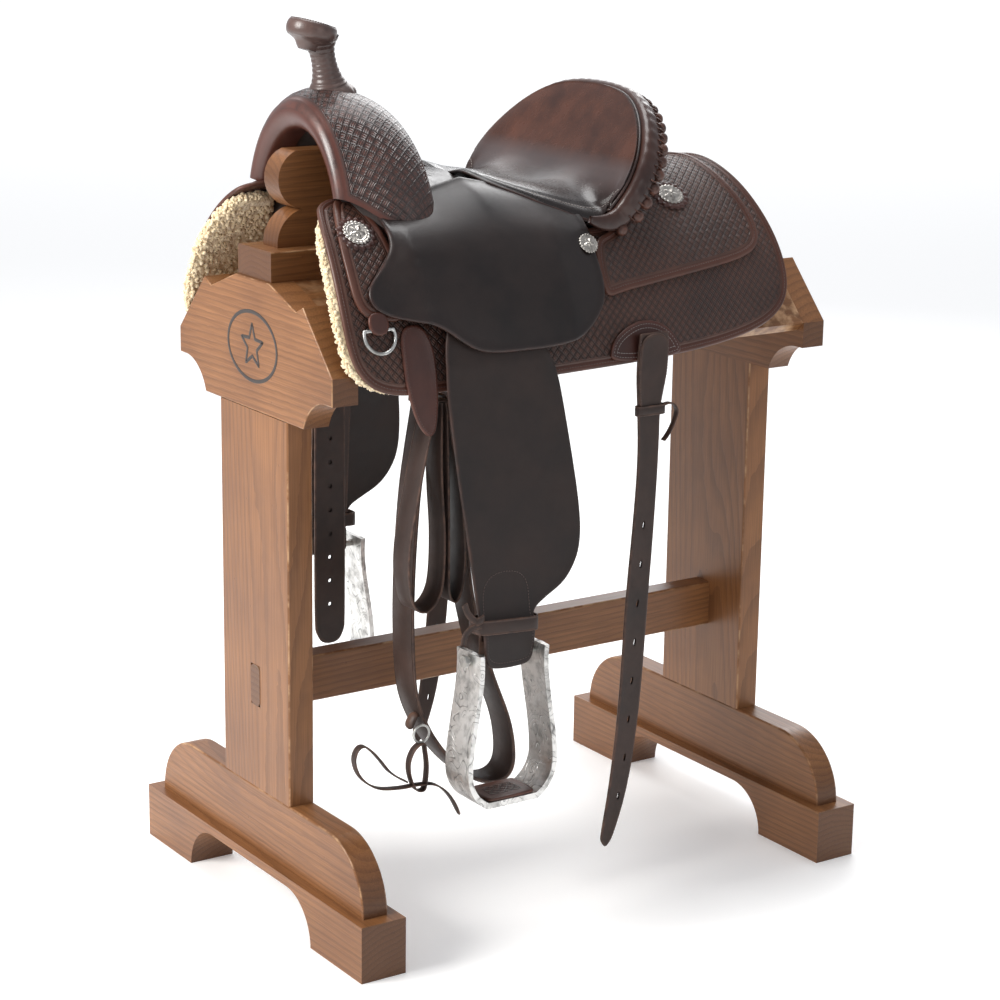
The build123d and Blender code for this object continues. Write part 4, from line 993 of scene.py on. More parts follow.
JOCKEY_LOW = [(-303, 936), (-310, 922), (-325, 906), (-343, 892), (-350, 878), (-347, 865),
              (-336, 856), (-318, 849), (-296, 845), (-276, 841), (-258, 831), (-240, 817), (-220, 805),
              (-196, 800), (-160, 799), (-120, 799), (-85, 801), (-58, 806), (-36, 817), (-17, 832),
              (-5, 846), (1, 862), (2, 882), (1, 905)]
TOP_V = JOCKEY_SPAN - 4
JOCKEY_CUT = ([(x, jockey_v(x, z)) for x, z in JOCKEY_LOW]
              + [(6, JOCKEY_SPAN * 0.80), (8, TOP_V), (-60, TOP_V), (-146, TOP_V), (-230, TOP_V),
                 (-296, TOP_V), (-300, jockey_v(-302, 952))])


def jockey_relief(d):
    return 0.9 * np.clip(1 - ((d - 4.0) / 4.0) ** 2, 0, 1)


for side, word in SIDES:
    form = jockey_form(side)
    jockey = panel(f"{word}_seat_jockey_leather", JOCKEY_CUT, form, 0.0, 4.6, "saddle", SMOOTH,
                   (0.6, 1.4, 2.6, 4.2, 6.2, 8.2), jockey_relief, spacing=8.0)
    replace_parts(jockey, f"{word}_seat_jockey")

# ============================== padded seat and cantle ==========================================
LEAN = math.radians(34.5)
CANTLE_FOOT = (50.0, 948.0)
RIM = ((0.0, 181.0), (42.0, 179.0), (80.0, 172.0), (112.0, 158.0), (140.0, 137.0),
       (163.0, 111.0), (180.0, 82.0), (188.0, 52.0), (187.0, 26.0), (181.0, 6.0))


def cantle(y, v, w):
    """A point of the leaning cantle: y across, v up the plane, w behind it."""
    y, v, w = np.broadcast_arrays(np.asarray(y, float), np.asarray(v, float), np.asarray(w, float))
    return np.stack((CANTLE_FOOT[0] + v * math.sin(LEAN) + w * math.cos(LEAN), y,
                     CANTLE_FOOT[1] + v * math.cos(LEAN) - w * math.sin(LEAN)), axis=-1)


RIM_LINE = smooth_line([(-y, v) for y, v in reversed(RIM[1:])] + list(RIM), 1.5)


SEAT_COLS, LOW_ROWS, HIGH_ROWS, SEAT_EASING = 81, 46, 40, 46
SEAT_FRONT, SEAT_LENGTH = -114.0, 154.0


def make_seat():
    """The dish: rows run across the seat, from behind the swell back and up to the roll."""
    s = np.linspace(-1, 1, SEAT_COLS)
    # how far each side the padded seat reaches at each x
    reach_x = (-118.0, -104.0, -88.0, -70.0, -50.0, -6.0, 30.0, 42.0)
    reach_y = (64.0, 98.0, 115.0, 129.0, 144.0, 165.0, 175.0, 177.0)
    sections = []
    for x, tops in SEAT_TOPS:
        sections.append(smooth_line([(-y, z) for y, z in reversed(tops[1:])] + list(tops), 2.0))
    xs = [x for x, _ in SEAT_TOPS]
    rows = []
    for k in range(LOW_ROWS):
        t = k / (LOW_ROWS - 1)
        x_mid = SEAT_FRONT + t * SEAT_LENGTH
        x_row = x_mid - 3.0 * (1 - t) * np.abs(s) ** 2
        y_row = s * np.interp(x_row, reach_x, reach_y)
        heights = np.array([[np.interp(y, sec[:, 0], sec[:, 1]) for sec in sections] for y in y_row])
        z_row = np.array([np.interp(x, xs, h) for x, h in zip(x_row, heights)])
        rows.append(np.stack((x_row, y_row, z_row), axis=-1))
    last = rows[-1]
    top = resample(RIM_LINE, 1.0)
    run = np.linspace(0, 1, len(top))
    at = (s + 1) / 2
    rim_y, rim_v = np.interp(at, run, top[:, 0]), np.interp(at, run, top[:, 1])
    rim_y = rim_y * 0.975
    end = cantle(rim_y, rim_v - 1.0, -9.4)
    for k in range(1, HIGH_ROWS + 1):
        t = (k / HIGH_ROWS) ** 0.92
        hollow = -11.0 + 5.0 * math.sin(math.pi * min(t * 1.05, 1.0))
        flat = cantle(rim_y * (0.90 + 0.10 * t), rim_v * t, hollow)
        base = last * (1 - t) + end * t
        pull = 0.75 * math.sin(math.pi * t) ** 0.8
        rows.append(base * (1 - pull) + flat * pull)
    rows = np.array(rows)
    for _ in range(SEAT_EASING):
        mid = rows[1:-1, 1:-1]
        near = (rows[:-2, 1:-1] + rows[2:, 1:-1] + rows[1:-1, :-2] + rows[1:-1, 2:]) / 4
        rows[1:-1, 1:-1] = mid + 0.5 * (near - mid)
    return rows


seat_rows = make_seat()
R_ROWS, R_COLS = seat_rows.shape[:2]
row_n = unit(np.cross(np.gradient(seat_rows, axis=0), np.gradient(seat_rows, axis=1)))
if row_n[R_ROWS // 3, R_COLS // 2, 2] < 0:
    row_n = -row_n
from_side = np.minimum(np.arange(R_COLS), np.arange(R_COLS)[::-1])[None, :] * 3.6
from_front = np.arange(R_ROWS)[:, None] * 4.0
from_edge = np.minimum(from_side, from_front)
PILLOW_HIGH, PILLOW_ROUND, CHANNEL_DEEP, CHANNEL_IN, HEM_DEEP = 7.0, 9.0, 1.6, 16.5, 6.0
pillow = PILLOW_HIGH * np.sqrt(np.clip(1 - (1 - np.clip(from_edge / PILLOW_ROUND, 0, 1)) ** 2, 0, 1))
pillow -= CHANNEL_DEEP * np.exp(-((from_edge - CHANNEL_IN) / 2.6) ** 2)
seat_points = seat_rows + row_n * pillow[..., None]
hem = seat_rows - row_n * HEM_DEEP
seat_uv = uv_grid(run_along(seat_rows[R_ROWS // 2]), run_along(seat_rows[:, R_COLS // 2]))
ring = ([(r, 0) for r in range(R_ROWS)] + [(R_ROWS - 1, c) for c in range(1, R_COLS)]
        + [(r, R_COLS - 1) for r in range(R_ROWS - 2, -1, -1)]
        + [(0, c) for c in range(R_COLS - 2, 0, -1)])
seat_all = seat_points.reshape(-1, 3)
hem_start = len(seat_all)
seat_all = np.vstack((seat_all, [hem[r, c] for r, c in ring]))
seat_faces = grid_faces(R_ROWS, R_COLS)
for k in range(len(ring)):
    a, b = ring[k], ring[(k + 1) % len(ring)]
    seat_faces.append([b[0] * R_COLS + b[1], a[0] * R_COLS + a[1], hem_start + k,
                       hem_start + (k + 1) % len(ring)])
seat_faces = [list(reversed(f)) for f in seat_faces]
seat_edge = np.r_[from_edge.ravel() + 6, np.zeros(len(ring))]
seat = link_mesh("seat_leather_padded", seat_all, seat_faces, "saddle", SEAT,
                 uv=np.vstack((seat_uv.reshape(-1, 2), np.zeros((len(ring), 2)))), edge=seat_edge)
# how far forward and down a point is, for the seat's near-black front and its band of painted sheen
forward = np.clip((60.0 - seat_all[:, 0]) / 150.0, 0, 1)
down = np.clip((1058.0 - seat_all[:, 2]) / 85.0, 0, 1)
low = seat.data.attributes.new("low", "FLOAT", "POINT")
low.data.foreach_set("value", np.clip(0.68 * down + 0.62 * forward, 0, 1).astype(np.float32))
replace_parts(seat, "seat_leather", "seat_pad", "cantle_facing")
# piping and a stitched channel round the padded seat
loop = np.array([seat_rows[r, c] + row_n[r, c] * 1.2 for r, c in ring])
PIPING_RADIUS = 2.6
around = [(math.cos(a) * PIPING_RADIUS, math.sin(a) * PIPING_RADIUS) for a in full_turn(9)]
piping = sweep("seat_piping", resample(loop, 4.0, closed=True), around, "saddle", SMOOTH,
               up=(0.2, 0.05, 1), closed=True)
sew = ([(r, 4) for r in range(R_ROWS - 3, 4, -1)] + [(4, c) for c in range(4, R_COLS - 4)]
       + [(r, R_COLS - 5) for r in range(4, R_ROWS - 2)])
sew_line = np.array([seat_points[r, c] for r, c in sew])
sew_normal = np.array([row_n[r, c] for r, c in sew])
stitches("seat_stitching", sew_line, sew_normal, "saddle", THREAD, pitch=4.4, length=3.3,
                 radius=0.6)

# ---- rolled rim, its laced beads, the back ------------------------------------------------------
def carried_frames(path, first_out):
    """Outward unit vectors carried along a path without twisting."""
    tangent = unit(np.gradient(path, axis=0))
    outs = []
    out = np.asarray(first_out, float)
    for t in tangent:
        out = out - t * np.dot(out, t)
        out = out / np.linalg.norm(out)
        outs.append(out)
    return np.array(outs)


rim_half = [cantle(y, v, 6.0) for y, v in RIM]
rim_half += [cantle(183.0, -9.0, -4.0), cantle(186.0, -20.0, -20.0), cantle(188.0, -27.0, -40.0)]
rim_path = smooth_line(np.array([p * (1, -1, 1) for p in rim_half[:0:-1]] + rim_half), 3.0)
middle = len(rim_path) // 2
up_plane = cantle(0, 1, 0) - cantle(0, 0, 0)
rim_out = np.vstack((carried_frames(rim_path[middle::-1], up_plane)[:0:-1],
                     carried_frames(rim_path[middle:], up_plane)))
rim_back = np.cross(unit(np.gradient(rim_path, axis=0)), rim_out)
if rim_back[middle, 0] < 0:
    rim_back = -rim_back
turns = full_turn(28)
RIM_STEP, ROLL_HALF_WIDE, ROLL_HALF_HIGH, ROLL_TAPER = 3.0, 16.0, 10.0, 75.0


def rim_growth(from_end):
    """The roll's share of its full size, by distance from its nearer end."""
    return 0.30 + 0.70 * math.sin(min(1.0, from_end / ROLL_TAPER) * math.pi / 2)


roll_rows = []
for k in range(len(rim_path)):
    grow = rim_growth(min(k, len(rim_path) - 1 - k) * RIM_STEP)
    pinch = 1.0 + 0.05 * math.sin(k * 1.05)
    across = np.sign(np.cos(turns)) * np.abs(np.cos(turns)) ** 0.85 * ROLL_HALF_WIDE * grow
    lift = np.sign(np.sin(turns)) * np.abs(np.sin(turns)) ** 0.85 * ROLL_HALF_HIGH * grow * pinch
    roll_rows.append(rim_path[k] + across[:, None] * rim_back[k]
                     + (2.0 + lift)[:, None] * rim_out[k])
roll = surface("cantle_roll_leather", np.array(roll_rows), "saddle", ROLL, edge=12.0,
               wrap_cols=True, caps=True, uv=uv_grid(turns * 14, np.arange(len(rim_path)) * RIM_STEP))
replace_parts(roll, "cantle_roll")


def rim_at(share, outwards, backwards):
    """A place on the rolled rim: share of the way round, then out from it and back over it."""
    k = share * (len(rim_path) - 1)
    i = int(min(max(k, 0), len(rim_path) - 2))
    f = k - i
    at = rim_path[i] * (1 - f) + rim_path[i + 1] * f
    return at + rim_out[i] * outwards + rim_back[i] * backwards, rim_out[i]


BEADS = 35
places, normals, sizes, caps_at, caps_n, caps_r = [], [], [], [], [], []
for k in range(2, BEADS - 2):
    share = (k + 0.5) / BEADS
    size = rim_growth(min(share, 1 - share) * len(rim_path) * RIM_STEP)
    at, beyond = rim_at(share, 6.0 * size, 18.0 * size)
    places.append(at)
    normals.append(beyond)
    sizes.append(4.0 + 5.4 * size)
    if k < 8 or k >= BEADS - 8:
        spot, _ = rim_at(share, 10.0 * size, 24.0 * size)
        caps_at.append(spot)
        caps_n.append(beyond * 0.6 + rim_back[int(share * (len(rim_path) - 1))])
        caps_r.append(3.4)
beads = blobs("cantle_lacing_beads", places, normals, sizes, "saddle", ROLL, squash=0.92, rings=9,
              around=14)
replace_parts(beads, "cantle_lacing")
blobs("cantle_lacing_silver", caps_at, caps_n, caps_r, "saddle", SILVER, squash=0.5,
              rings=7, around=12)
thongs = []
for k in range(3, BEADS - 3):
    for turn in (-1, 1):
        share = (k + 0.5 + 0.27 * turn) / BEADS
        line = [rim_at(share, 11.4, 4.0)[0], rim_at(share, 12.6, 10.0)[0],
                rim_at(share, 11.4, 16.5)[0], rim_at(share - 0.1 * turn / BEADS, 3.0, 21.5)[0],
                rim_at(share - 0.16 * turn / BEADS, -5.0, 19.0)[0]]
        thongs.append(smooth_line(line, 2.5))
THONG_SIDES, THONG_HALF_WIDE, THONG_HALF_THICK = 6, 1.7, 1.0
points, faces = [], []
for line in thongs:
    sideways, upward = frames_along(line, (0.3, 0.2, 0.9))
    faces += tube_faces(len(points), len(line), THONG_SIDES)
    for i in range(len(line)):
        for j in range(THONG_SIDES):
            a = 2 * math.pi * j / THONG_SIDES
            points.append(line[i] + THONG_HALF_WIDE * math.cos(a) * sideways[i]
                          + THONG_HALF_THICK * math.sin(a) * upward[i])
link_mesh("cantle_lacing_thong", points, faces, "saddle", ROLL)


def back_form(u, v, n):
    return cantle(u, v, 20.4 + n)


BACK_CUT = ([(-y, v - 2) for y, v in reversed(RIM[1:])] + [(y, v - 2) for y, v in RIM]
            + [(120, -8), (0, -10), (-120, -8)])
back = panel("cantle_back_leather", BACK_CUT, back_form, 0.0, 4.6, "saddle", TOOLED, TOOLED_RINGS,
             tooled_relief)
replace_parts(back, "cantle_back")

# ============================== swell and horn ==================================================
SWELL_Z = 938.0
# (x, half width, rise, foot height) from inside the gullet, round the front lip, over to the seat
SWELL_ROWS = ((-298, 102, 127, 955), (-318, 102, 127, 968), (-330, 103, 129, 982),
              (-337, 107, 136, 986), (-341, 113, 144, 988), (-342, 119, 152, 989),
              (-339, 125, 160, 989), (-331, 131, 168, 987), (-317, 139, 176, 980),
              (-300, 150, 180, 968), (-280, 161, 179, 955), (-258, 168, 174, 948),
              (-238, 168, 166, 948), (-222, 160, 154, 954), (-209, 142, 134, 966),
              (-202, 116, 108, 982), (-201, 84, 84, 990))
swell_path = smooth_line(SWELL_ROWS, 3.2)
SWELL_COLS = 121
LIP_ROW = int(np.argmin(swell_path[:, 0]))
swell_rows, swell_edge, swell_uv = [], [], []
row_run = run_along(swell_path[:, :3])
for k, (x, half, rise, foot) in enumerate(swell_path):
    start = math.asin(min(0.9, max(-0.2, (foot - SWELL_Z) / rise)))
    turn = np.linspace(math.pi - start, start, SWELL_COLS)
    y, z = half * np.cos(turn), SWELL_Z + rise * np.sin(turn)
    arc = np.r_[0, np.cumsum(np.hypot(np.diff(y), np.diff(z)))]
    d_foot = np.minimum(arc, arc[-1] - arc)
    d_lip = row_run[k] - row_run[LIP_ROW]
    d_back = row_run[-1] - row_run[k]
    if d_lip < 4:    # plain leather inside the gullet
        d, lift = np.full(SWELL_COLS, 5.0), np.zeros(SWELL_COLS)
    else:            # tooled border, and two cord lines behind the front lip
        d = np.minimum(np.minimum(d_foot + 4.0, max(0.0, d_lip - 16)), max(0.0, d_back + 6))
        lift = tooled_relief(np.maximum(d - 12.0, 0.0))
        for cord_at in (14.0, 18.5):
            lift += 1.1 * math.exp(-((d_lip - cord_at) / 1.2) ** 2)
    normal = unit(np.stack((np.zeros_like(y), np.cos(turn) / half, np.sin(turn) / rise), axis=-1))
    base = np.stack((np.full_like(y, x), y, z), axis=-1)
    swell_rows.append(base + normal * lift[:, None])
    swell_edge.append(d)
    swell_uv.append(np.stack((np.full_like(y, row_run[k]), arc - arc[-1] / 2), axis=-1))
swell = surface("swell_cover_leather", swell_rows, "saddle", TOOLED_FINE, uv=swell_uv,
                edge=swell_edge)
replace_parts(swell, "swell_cover")

# plain leather that closes the gap between the swell and the padded seat
FRONT_COLS, FRONT_THICK = 41, 3.0
front_rows = []
# (x, half width, height in the middle, height at the sides)
for x, half, crown, side_z in ((-216, 120, 1030, 988), (-200, 116, 1014, 984),
                               (-180, 112, 1008, 982), (-150, 104, 1005, 980),
                               (-118, 88, 1002, 980), (-98, 92, 995, 976)):
    share = np.linspace(-1, 1, FRONT_COLS)
    front_rows.append(np.stack((np.full(FRONT_COLS, float(x)), half * share,
                                side_z + (crown - side_z) * (1 - share ** 2)), axis=-1))
front_rows = np.array(front_rows)
path_rows = np.array([smooth_line(front_rows[:, c], 3.0)[:38] for c in range(FRONT_COLS)])
under_rows = path_rows[:, ::-1] - np.array((0, 0, FRONT_THICK))
skin = np.concatenate((path_rows, under_rows), axis=1)
seat_front = surface("seat_front_leather", skin, "saddle", SMOOTH, wrap_cols=True, caps=True,
                     edge=14.0)

HORN_FOOT, HORN_LEAN = np.array((-283.0, 0.0, 1104.0)), math.radians(12)
H_UP = np.array((-math.sin(HORN_LEAN), 0, math.cos(HORN_LEAN)))
H_ALONG = np.array((math.cos(HORN_LEAN), 0, math.sin(HORN_LEAN)))
H_SIDE = np.array((0, 1.0, 0))
WRAP_PITCH = 6.4
neck_profile = smooth_line([(34, 1), (33.5, 5), (32, 9), (29, 12.5), (24.5, 17), (20.5, 23),
                            (17.5, 32), (15.6, 43), (15.2, 55), (16.5, 64), (20, 71), (25, 78)], 1.1)
turns = full_turn(72)


def spokes(along):
    """Unit vectors round an axis, at each of the turns."""
    return np.cos(turns)[:, None] * along + np.sin(turns)[:, None] * H_SIDE


neck_rows = []
for r, h in neck_profile:
    wrap = 0.0
    if h > 17:
        phase = h / WRAP_PITCH + turns / (2 * math.pi)
        wrap = 1.1 * np.abs(np.sin(np.pi * phase)) ** 0.6
    scallop = 1.3 * np.cos(turns * 14) * math.exp(-((h - 4) / 6) ** 2)
    rr = r + wrap + scallop
    sink = 14.0 * (1 - math.exp(-((h - 1) / 10.0) ** 2)) - 14.0
    drop = sink * (np.sin(turns) ** 2) * 0.5 * (1 if h < 20 else 0)
    neck_rows.append(HORN_FOOT + (h + drop)[:, None] * H_UP + rr[:, None] * spokes(H_ALONG))
neck = surface("horn_neck_wrap", neck_rows, "saddle", HORN, wrap_cols=True,
               uv=uv_grid(turns * 20, neck_profile[:, 1]), edge=12.0)
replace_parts(neck, "horn_neck")

CAP_AT, CAP_TILT = np.array((-312.0, 0.0, 1187.5)), math.radians(16)
C_UP = np.array((math.sin(CAP_TILT), 0, math.cos(CAP_TILT)))
C_ALONG = np.array((math.cos(CAP_TILT), 0, -math.sin(CAP_TILT)))
cap_profile = smooth_line([(0.5, 13.4), (10, 13.7), (20, 14.6), (25.5, 15.0), (27.2, 13.9),
                           (28.6, 14.6), (31.2, 12.8), (32.8, 9.0), (33.2, 3.0), (32.2, -3.0),
                           (29.5, -6.5), (25, -8.5), (19, -12), (15, -18), (12, -22)], 0.8)
cap_rows = []
for r, h in cap_profile:
    ripple = 0.35 * np.abs(np.sin(turns * 22)) * math.exp(-((h - 3) / 5) ** 2) * (r > 26)
    cap_rows.append(CAP_AT + h * C_UP + (r + ripple)[:, None] * spokes(C_ALONG))
cap = surface("horn_cap_leather", cap_rows, "saddle", HORN, wrap_cols=True, caps=True,
              uv=uv_grid(turns * 30, cap_profile[:, 0]),
              edge=(33.5 - cap_profile[:, 0])[:, None] + 2)
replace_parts(cap, "horn")
for r, h, tag in ((23.0, 15.1, "inner"), (29.9, 14.2, "outer")):
    ring_line = CAP_AT + h * C_UP + r * spokes(C_ALONG)
    stitches(f"horn_cap_{tag}_stitching", ring_line, np.repeat(C_UP[None], len(turns), 0),
                     "saddle", DARK_THREAD, pitch=3.6, length=2.8)

# ============================== silver conchos, rosettes, dees ==================================
# (share of the concho's radius, share of its height kept), the last two turning the rim under
CONCHO_RINGS = [(r, 1.0) for r in (0.0, .08, .16, .24, .32, .40, .48, .56, .64, .70, .74, .78, .82,
                                   .86, .90, .94, .97)] + [(1.0, 0.4), (1.0, 0.0)]
ROSETTE_RINGS = ((0.0, 2.4), (0.4, 2.4), (0.66, 2.3), (0.74, 1.7), (0.80, 2.3), (0.90, 2.0),
                 (0.97, 1.2), (1.0, 0.0))
PETALS = 16


def disc_frame(at):
    """Place, outward normal and the unit vectors along and across of a disc on the leather."""
    place, normal = at[0][0], at[1][0]
    along = np.array((1.0, 0, 0)) - normal * normal[0]
    along /= np.linalg.norm(along)
    return place, normal, along, np.cross(normal, along)


def concho(name, at, wide, high):
    """A domed star concho with a scalloped, beaded rim, lying against the leather."""
    place, normal, along, up = disc_frame(at)
    if up[2] <= 0:
        up = -up
    angles = full_turn(120)
    fold = np.abs(((angles * 5 / (2 * math.pi) + 0.25) % 1.0) * 2 - 1)
    rows = []
    for share, kept in CONCHO_RINGS:
        on_star = np.clip((0.24 + 0.36 * fold - share) / 0.06, 0, 1)
        h = 0.6 + 2.3 * on_star * (1.25 - share) * (0.75 + 0.25 * fold)
        h = h + 0.9 * np.exp(-((share - 0.72) / 0.035) ** 2) * (0.7 + 0.3 * np.cos(angles * 40))
        h = h + 1.0 * np.exp(-((share - 0.88) / 0.07) ** 2) * (0.6 + 0.4 * np.cos(angles * 20))
        edge_r = share * (1 + 0.045 * np.cos(angles * 20) * (share > 0.85))
        rows.append(place + (edge_r * wide * np.cos(angles))[:, None] * along
                    + (edge_r * high * np.sin(angles))[:, None] * up + (h * kept)[:, None] * normal)
    return surface(name, rows, "saddle", SILVER, wrap_cols=True)


def rosette(name, at, wide, high):
    """The round of red leather with a petalled edge under a concho."""
    place, normal, along, up = disc_frame(at)
    angles = full_turn(144)
    rows = []
    for share, h in ROSETTE_RINGS:
        r = share * (1 + 0.05 * np.cos(angles * PETALS) * (share > 0.7))
        hh = h + 0.4 * np.cos(angles * PETALS) * (0.7 < share < 0.98)
        rows.append(place + (r * wide * np.cos(angles))[:, None] * along
                    + (r * high * np.sin(angles))[:, None] * up + hh[:, None] * normal)
    return surface(name, rows, "saddle", RED, wrap_cols=True, edge=6.0)


for side, word in SIDES:
    form = side_form(side)
    for tag, x, z, lift, wide, high in (("front", -334, 946, 6.8, 18.5, 18.5),
                                        ("rear", 173, 958, 8.2, 20, 17)):
        spot = [(x, to_v(z))]
        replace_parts(concho(f"{word}_{tag}_concho", form_line(form, spot, lift), wide, high), "conchos")
        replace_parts(rosette(f"{word}_{tag}_rosette", form_line(form, spot, lift - 2.6), wide + 8,
                            high + 8), "rear_rosettes")
    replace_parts(concho(f"{word}_seat_concho", form_line(form, [(-10.0, to_v(905))], 23.0), 14, 14),
                "conchos")
    paint(f"{word}_dee_ring", STEEL)
    keeper_cut = [(-357, to_v(829)), (-329, to_v(829)), (-329, to_v(856)), (-357, to_v(856))]
    keeper = panel(f"{word}_dee_keeper", keeper_cut, form, 4.8, 9.6, "saddle", RED,
                   PLAIN_RINGS[:4], None, rounds=2)
    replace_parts(keeper, "dee_keepers")

# ============================== fenders, stirrup leathers, stirrups =============================
BOLT_X, BOLT_Y, BOLT_Z = -190.0, 284.0, 404.0
RIGHT_BACK = 60.0    # how much further back the right fender hangs
LOOP_RADIUS, TREAD_Z, HOBBLE_Z = 8.1, 213.4, 447.0


def hang_form(side, offset, low_points):
    """A strap that lies off the saddle's side form and then hangs: form(x, z, n)."""
    back = RIGHT_BACK if side > 0 else 0.0
    tops = (868.0, 845.0, 820.0, 795.0, 770.0)
    wide = half_width(BOLT_X)
    section = [((wide + offset) * math.sqrt(1 - ((z - SPRING_Z) / (RISE + offset)) ** 2), z)
               for z in tops] + list(low_points)
    line = smooth_line(section, 2.0)
    line = line[np.argsort(line[:, 1])]
    slope = np.gradient(line[:, 0], line[:, 1])

    def form(u, v, n):
        y = np.interp(v, line[:, 1], line[:, 0])
        dy = np.interp(v, line[:, 1], slope)
        size = np.sqrt(1 + dy * dy)
        return np.stack((np.broadcast_to(u, np.shape(v)) + back, side * (y + n / size),
                         v - n * dy / size), axis=-1)
    return form


FENDER_CUT = [(-248, 844), (-259, 818), (-263, 780), (-262, 740), (-257, 690), (-252, 640), (-240, 540),
              (-233, 470), (-229, 440), (-227, 410), (-222, 394), (-205, 389), (-165, 389),
              (-153, 396), (-150, 420), (-148, 445), (-146, 460), (-124, 473), (-100, 485),
              (-84, 500), (-70, 524), (-65, 552), (-66, 590), (-72, 640), (-84, 720), (-92, 765),
              (-105, 797), (-129, 823), (-143, 844)]
LEATHER_CUT = [(-222, 866), (-222, 640), (-222, 430), (-222, 420), (-158, 420), (-158, 430),
               (-158, 640), (-158, 866)]


for side, word in SIDES:
    body, stirrup_body = f"{word}_fender", f"{word}_stirrup"
    bolt_x = BOLT_X + (RIGHT_BACK if side > 0 else 0.0)
    outer = hang_form(side, 14.4, ((270.0, 600.0), (284.0, 470.0), (294.0, 440.0), (294.0, 392.0),
                                   (294.0, 380.0)))
    fender = panel(f"{word}_fender_leather", FENDER_CUT, outer, 0.0, 4.4, body, FENDER,
                   PLAIN_RINGS, plain_relief, spacing=9.0)
    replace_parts(fender, f"{word}_fender")
    line, normals = form_line(outer, inset_line([(-228, 520), (-229, 440), (-227, 394), (-165, 392),
                                                 (-151, 400), (-148, 446), (-150, 520)], 4.5), 4.4)
    stitches(f"{word}_fender_stitching", line, normals, body, DARK_THREAD)
    inner = hang_form(side, 11.0, ((262.0, 600.0), (271.0, 470.0), (274.4, 440.0), (274.4, 404.0)))
    strand = panel(f"{word}_stirrup_strand", LEATHER_CUT, inner, -0.2, 3.0, body, STRAP,
                   PLAIN_RINGS, plain_relief, spacing=9.0)
    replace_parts(strand, f"{word}_stirrup_leather")
    # the leather's loop under the stirrup bolt
    arc = [(bolt_x, side * (BOLT_Y - LOOP_RADIUS), BOLT_Z + z) for z in (26, 0)]
    arc += [(bolt_x, side * (BOLT_Y - LOOP_RADIUS * math.cos(a)), BOLT_Z - LOOP_RADIUS * math.sin(a))
            for a in np.linspace(0.3, math.pi, 9)]
    arc += [(bolt_x, side * (BOLT_Y + LOOP_RADIUS), BOLT_Z + 30)]
    sweep(f"{word}_bolt_loop", arc, [(-32, -1.4), (32, -1.4), (32, 1.4), (-32, 1.4)], body,
                  STRAP, up=(0, side, 0.01))
    paint(f"{word}_stirrup", ALUMINIUM)
    paint(f"{word}_stirrup_bolt", STEEL)
    # leather tread with rounded ends and a raised, grooved border
    tread_cut = [(bolt_x + x, y) for x, y in ((-38, -24), (-30, -28), (30, -28), (38, -24),
                                              (38, 24), (30, 28), (-30, 28), (-38, 24))]

    def tread_form(u, v, n, side=side):
        return np.stack((u, side * BOLT_Y + v, np.broadcast_to(TREAD_Z + n, u.shape)), axis=-1)
    tread = panel(f"{word}_tread_leather", tread_cut, tread_form, 0.0, 4.0, stirrup_body, TOOLED,
                  PLAIN_RINGS, plain_relief, rounds=2)
    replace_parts(tread, f"{word}_tread_pad")
    # hobble strap round the fender's tail
    ring = [(bolt_x + 47.2 * c, side * 284.5 + 16.4 * s) for c, s in squared_circle(60, 0.35, 0.45)]
    ring3 = [(x, y, HOBBLE_Z + 3 * (bolt_x - x) / 47) for x, y in ring]
    hobble = sweep(f"{word}_hobble_leather", ring3, upright_section(20.0, 2.2, 2.6), body, STRAP,
                   closed=True)
    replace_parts(hobble, f"{word}_hobble_strap")
    # the hobble's knot: a short wrapped turn and two loose ends
    knot_y = side * 298.0
    turn = [(bolt_x - 46 + 7.0 * math.cos(a), knot_y - side * 3.0 + 5.0 * math.sin(a),
             HOBBLE_Z + 5.0 + 2.0 * a) for a in np.linspace(-0.6, 2 * math.pi - 0.6, 25)]
    knot = sweep(f"{word}_hobble_knot", turn, upright_section(11.0, 2.6, 2.2), body, STRAP)
    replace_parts(knot, f"{word}_hobble_strap")
    for tag, line in (("upper", [(-42, 456), (-54, 462), (-64, 472), (-70, 486)]),
                      ("lower", [(-44, 454), (-58, 452), (-68, 444), (-72, 430)])):
        tail = smooth_line([(bolt_x + x, knot_y, z) for x, z in line], 2.5)
        end = sweep(f"{word}_hobble_{tag}_end", tail, strap_section(9.0, 2.2, 2.2), body, STRAP,
                    up=(0, 1, 0))
        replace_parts(end, f"{word}_hobble_strap")

# ============================== hanging straps ===================================================
POINTED_END = (0.99, 0.96, 0.9, 0.82, 0.7, 0.55, 0.35)


def edge_strap(name, line, y_inner, wide, thick, body, step=4.0, pointed=False):
    """A strap bent in the side view: its line is (x, z), its width runs across the saddle."""
    path = [(x, -(y_inner + wide / 2), z) for x, z in smooth_line(line, step)]
    scale = np.ones((len(path), 2))
    if pointed:
        scale[-len(POINTED_END):, 1] = POINTED_END
    piece = sweep(name, path, upright_section(wide, thick, 3.0), body, STRAP, up=(0, 1, 0),
                  scale=scale)
    return piece


def flat_form(side, y_inner):
    """A form that is a plain upright plane: (u, v) is (x, z)."""
    def form(u, v, n):
        return np.stack((u, np.broadcast_to(side * (y_inner + n), np.shape(u)), v), axis=-1)
    return form


def slot_hole(x, z, half_long, half_wide, turn):
    """The outline of a slot punched in a strap, turned from the x axis."""
    out = []
    for c, s in squared_circle(18, 0.7, 0.7):
        along, across = half_long * c, half_wide * s
        out.append((x + along * math.cos(turn) - across * math.sin(turn),
                    z + along * math.sin(turn) + across * math.cos(turn)))
    return out


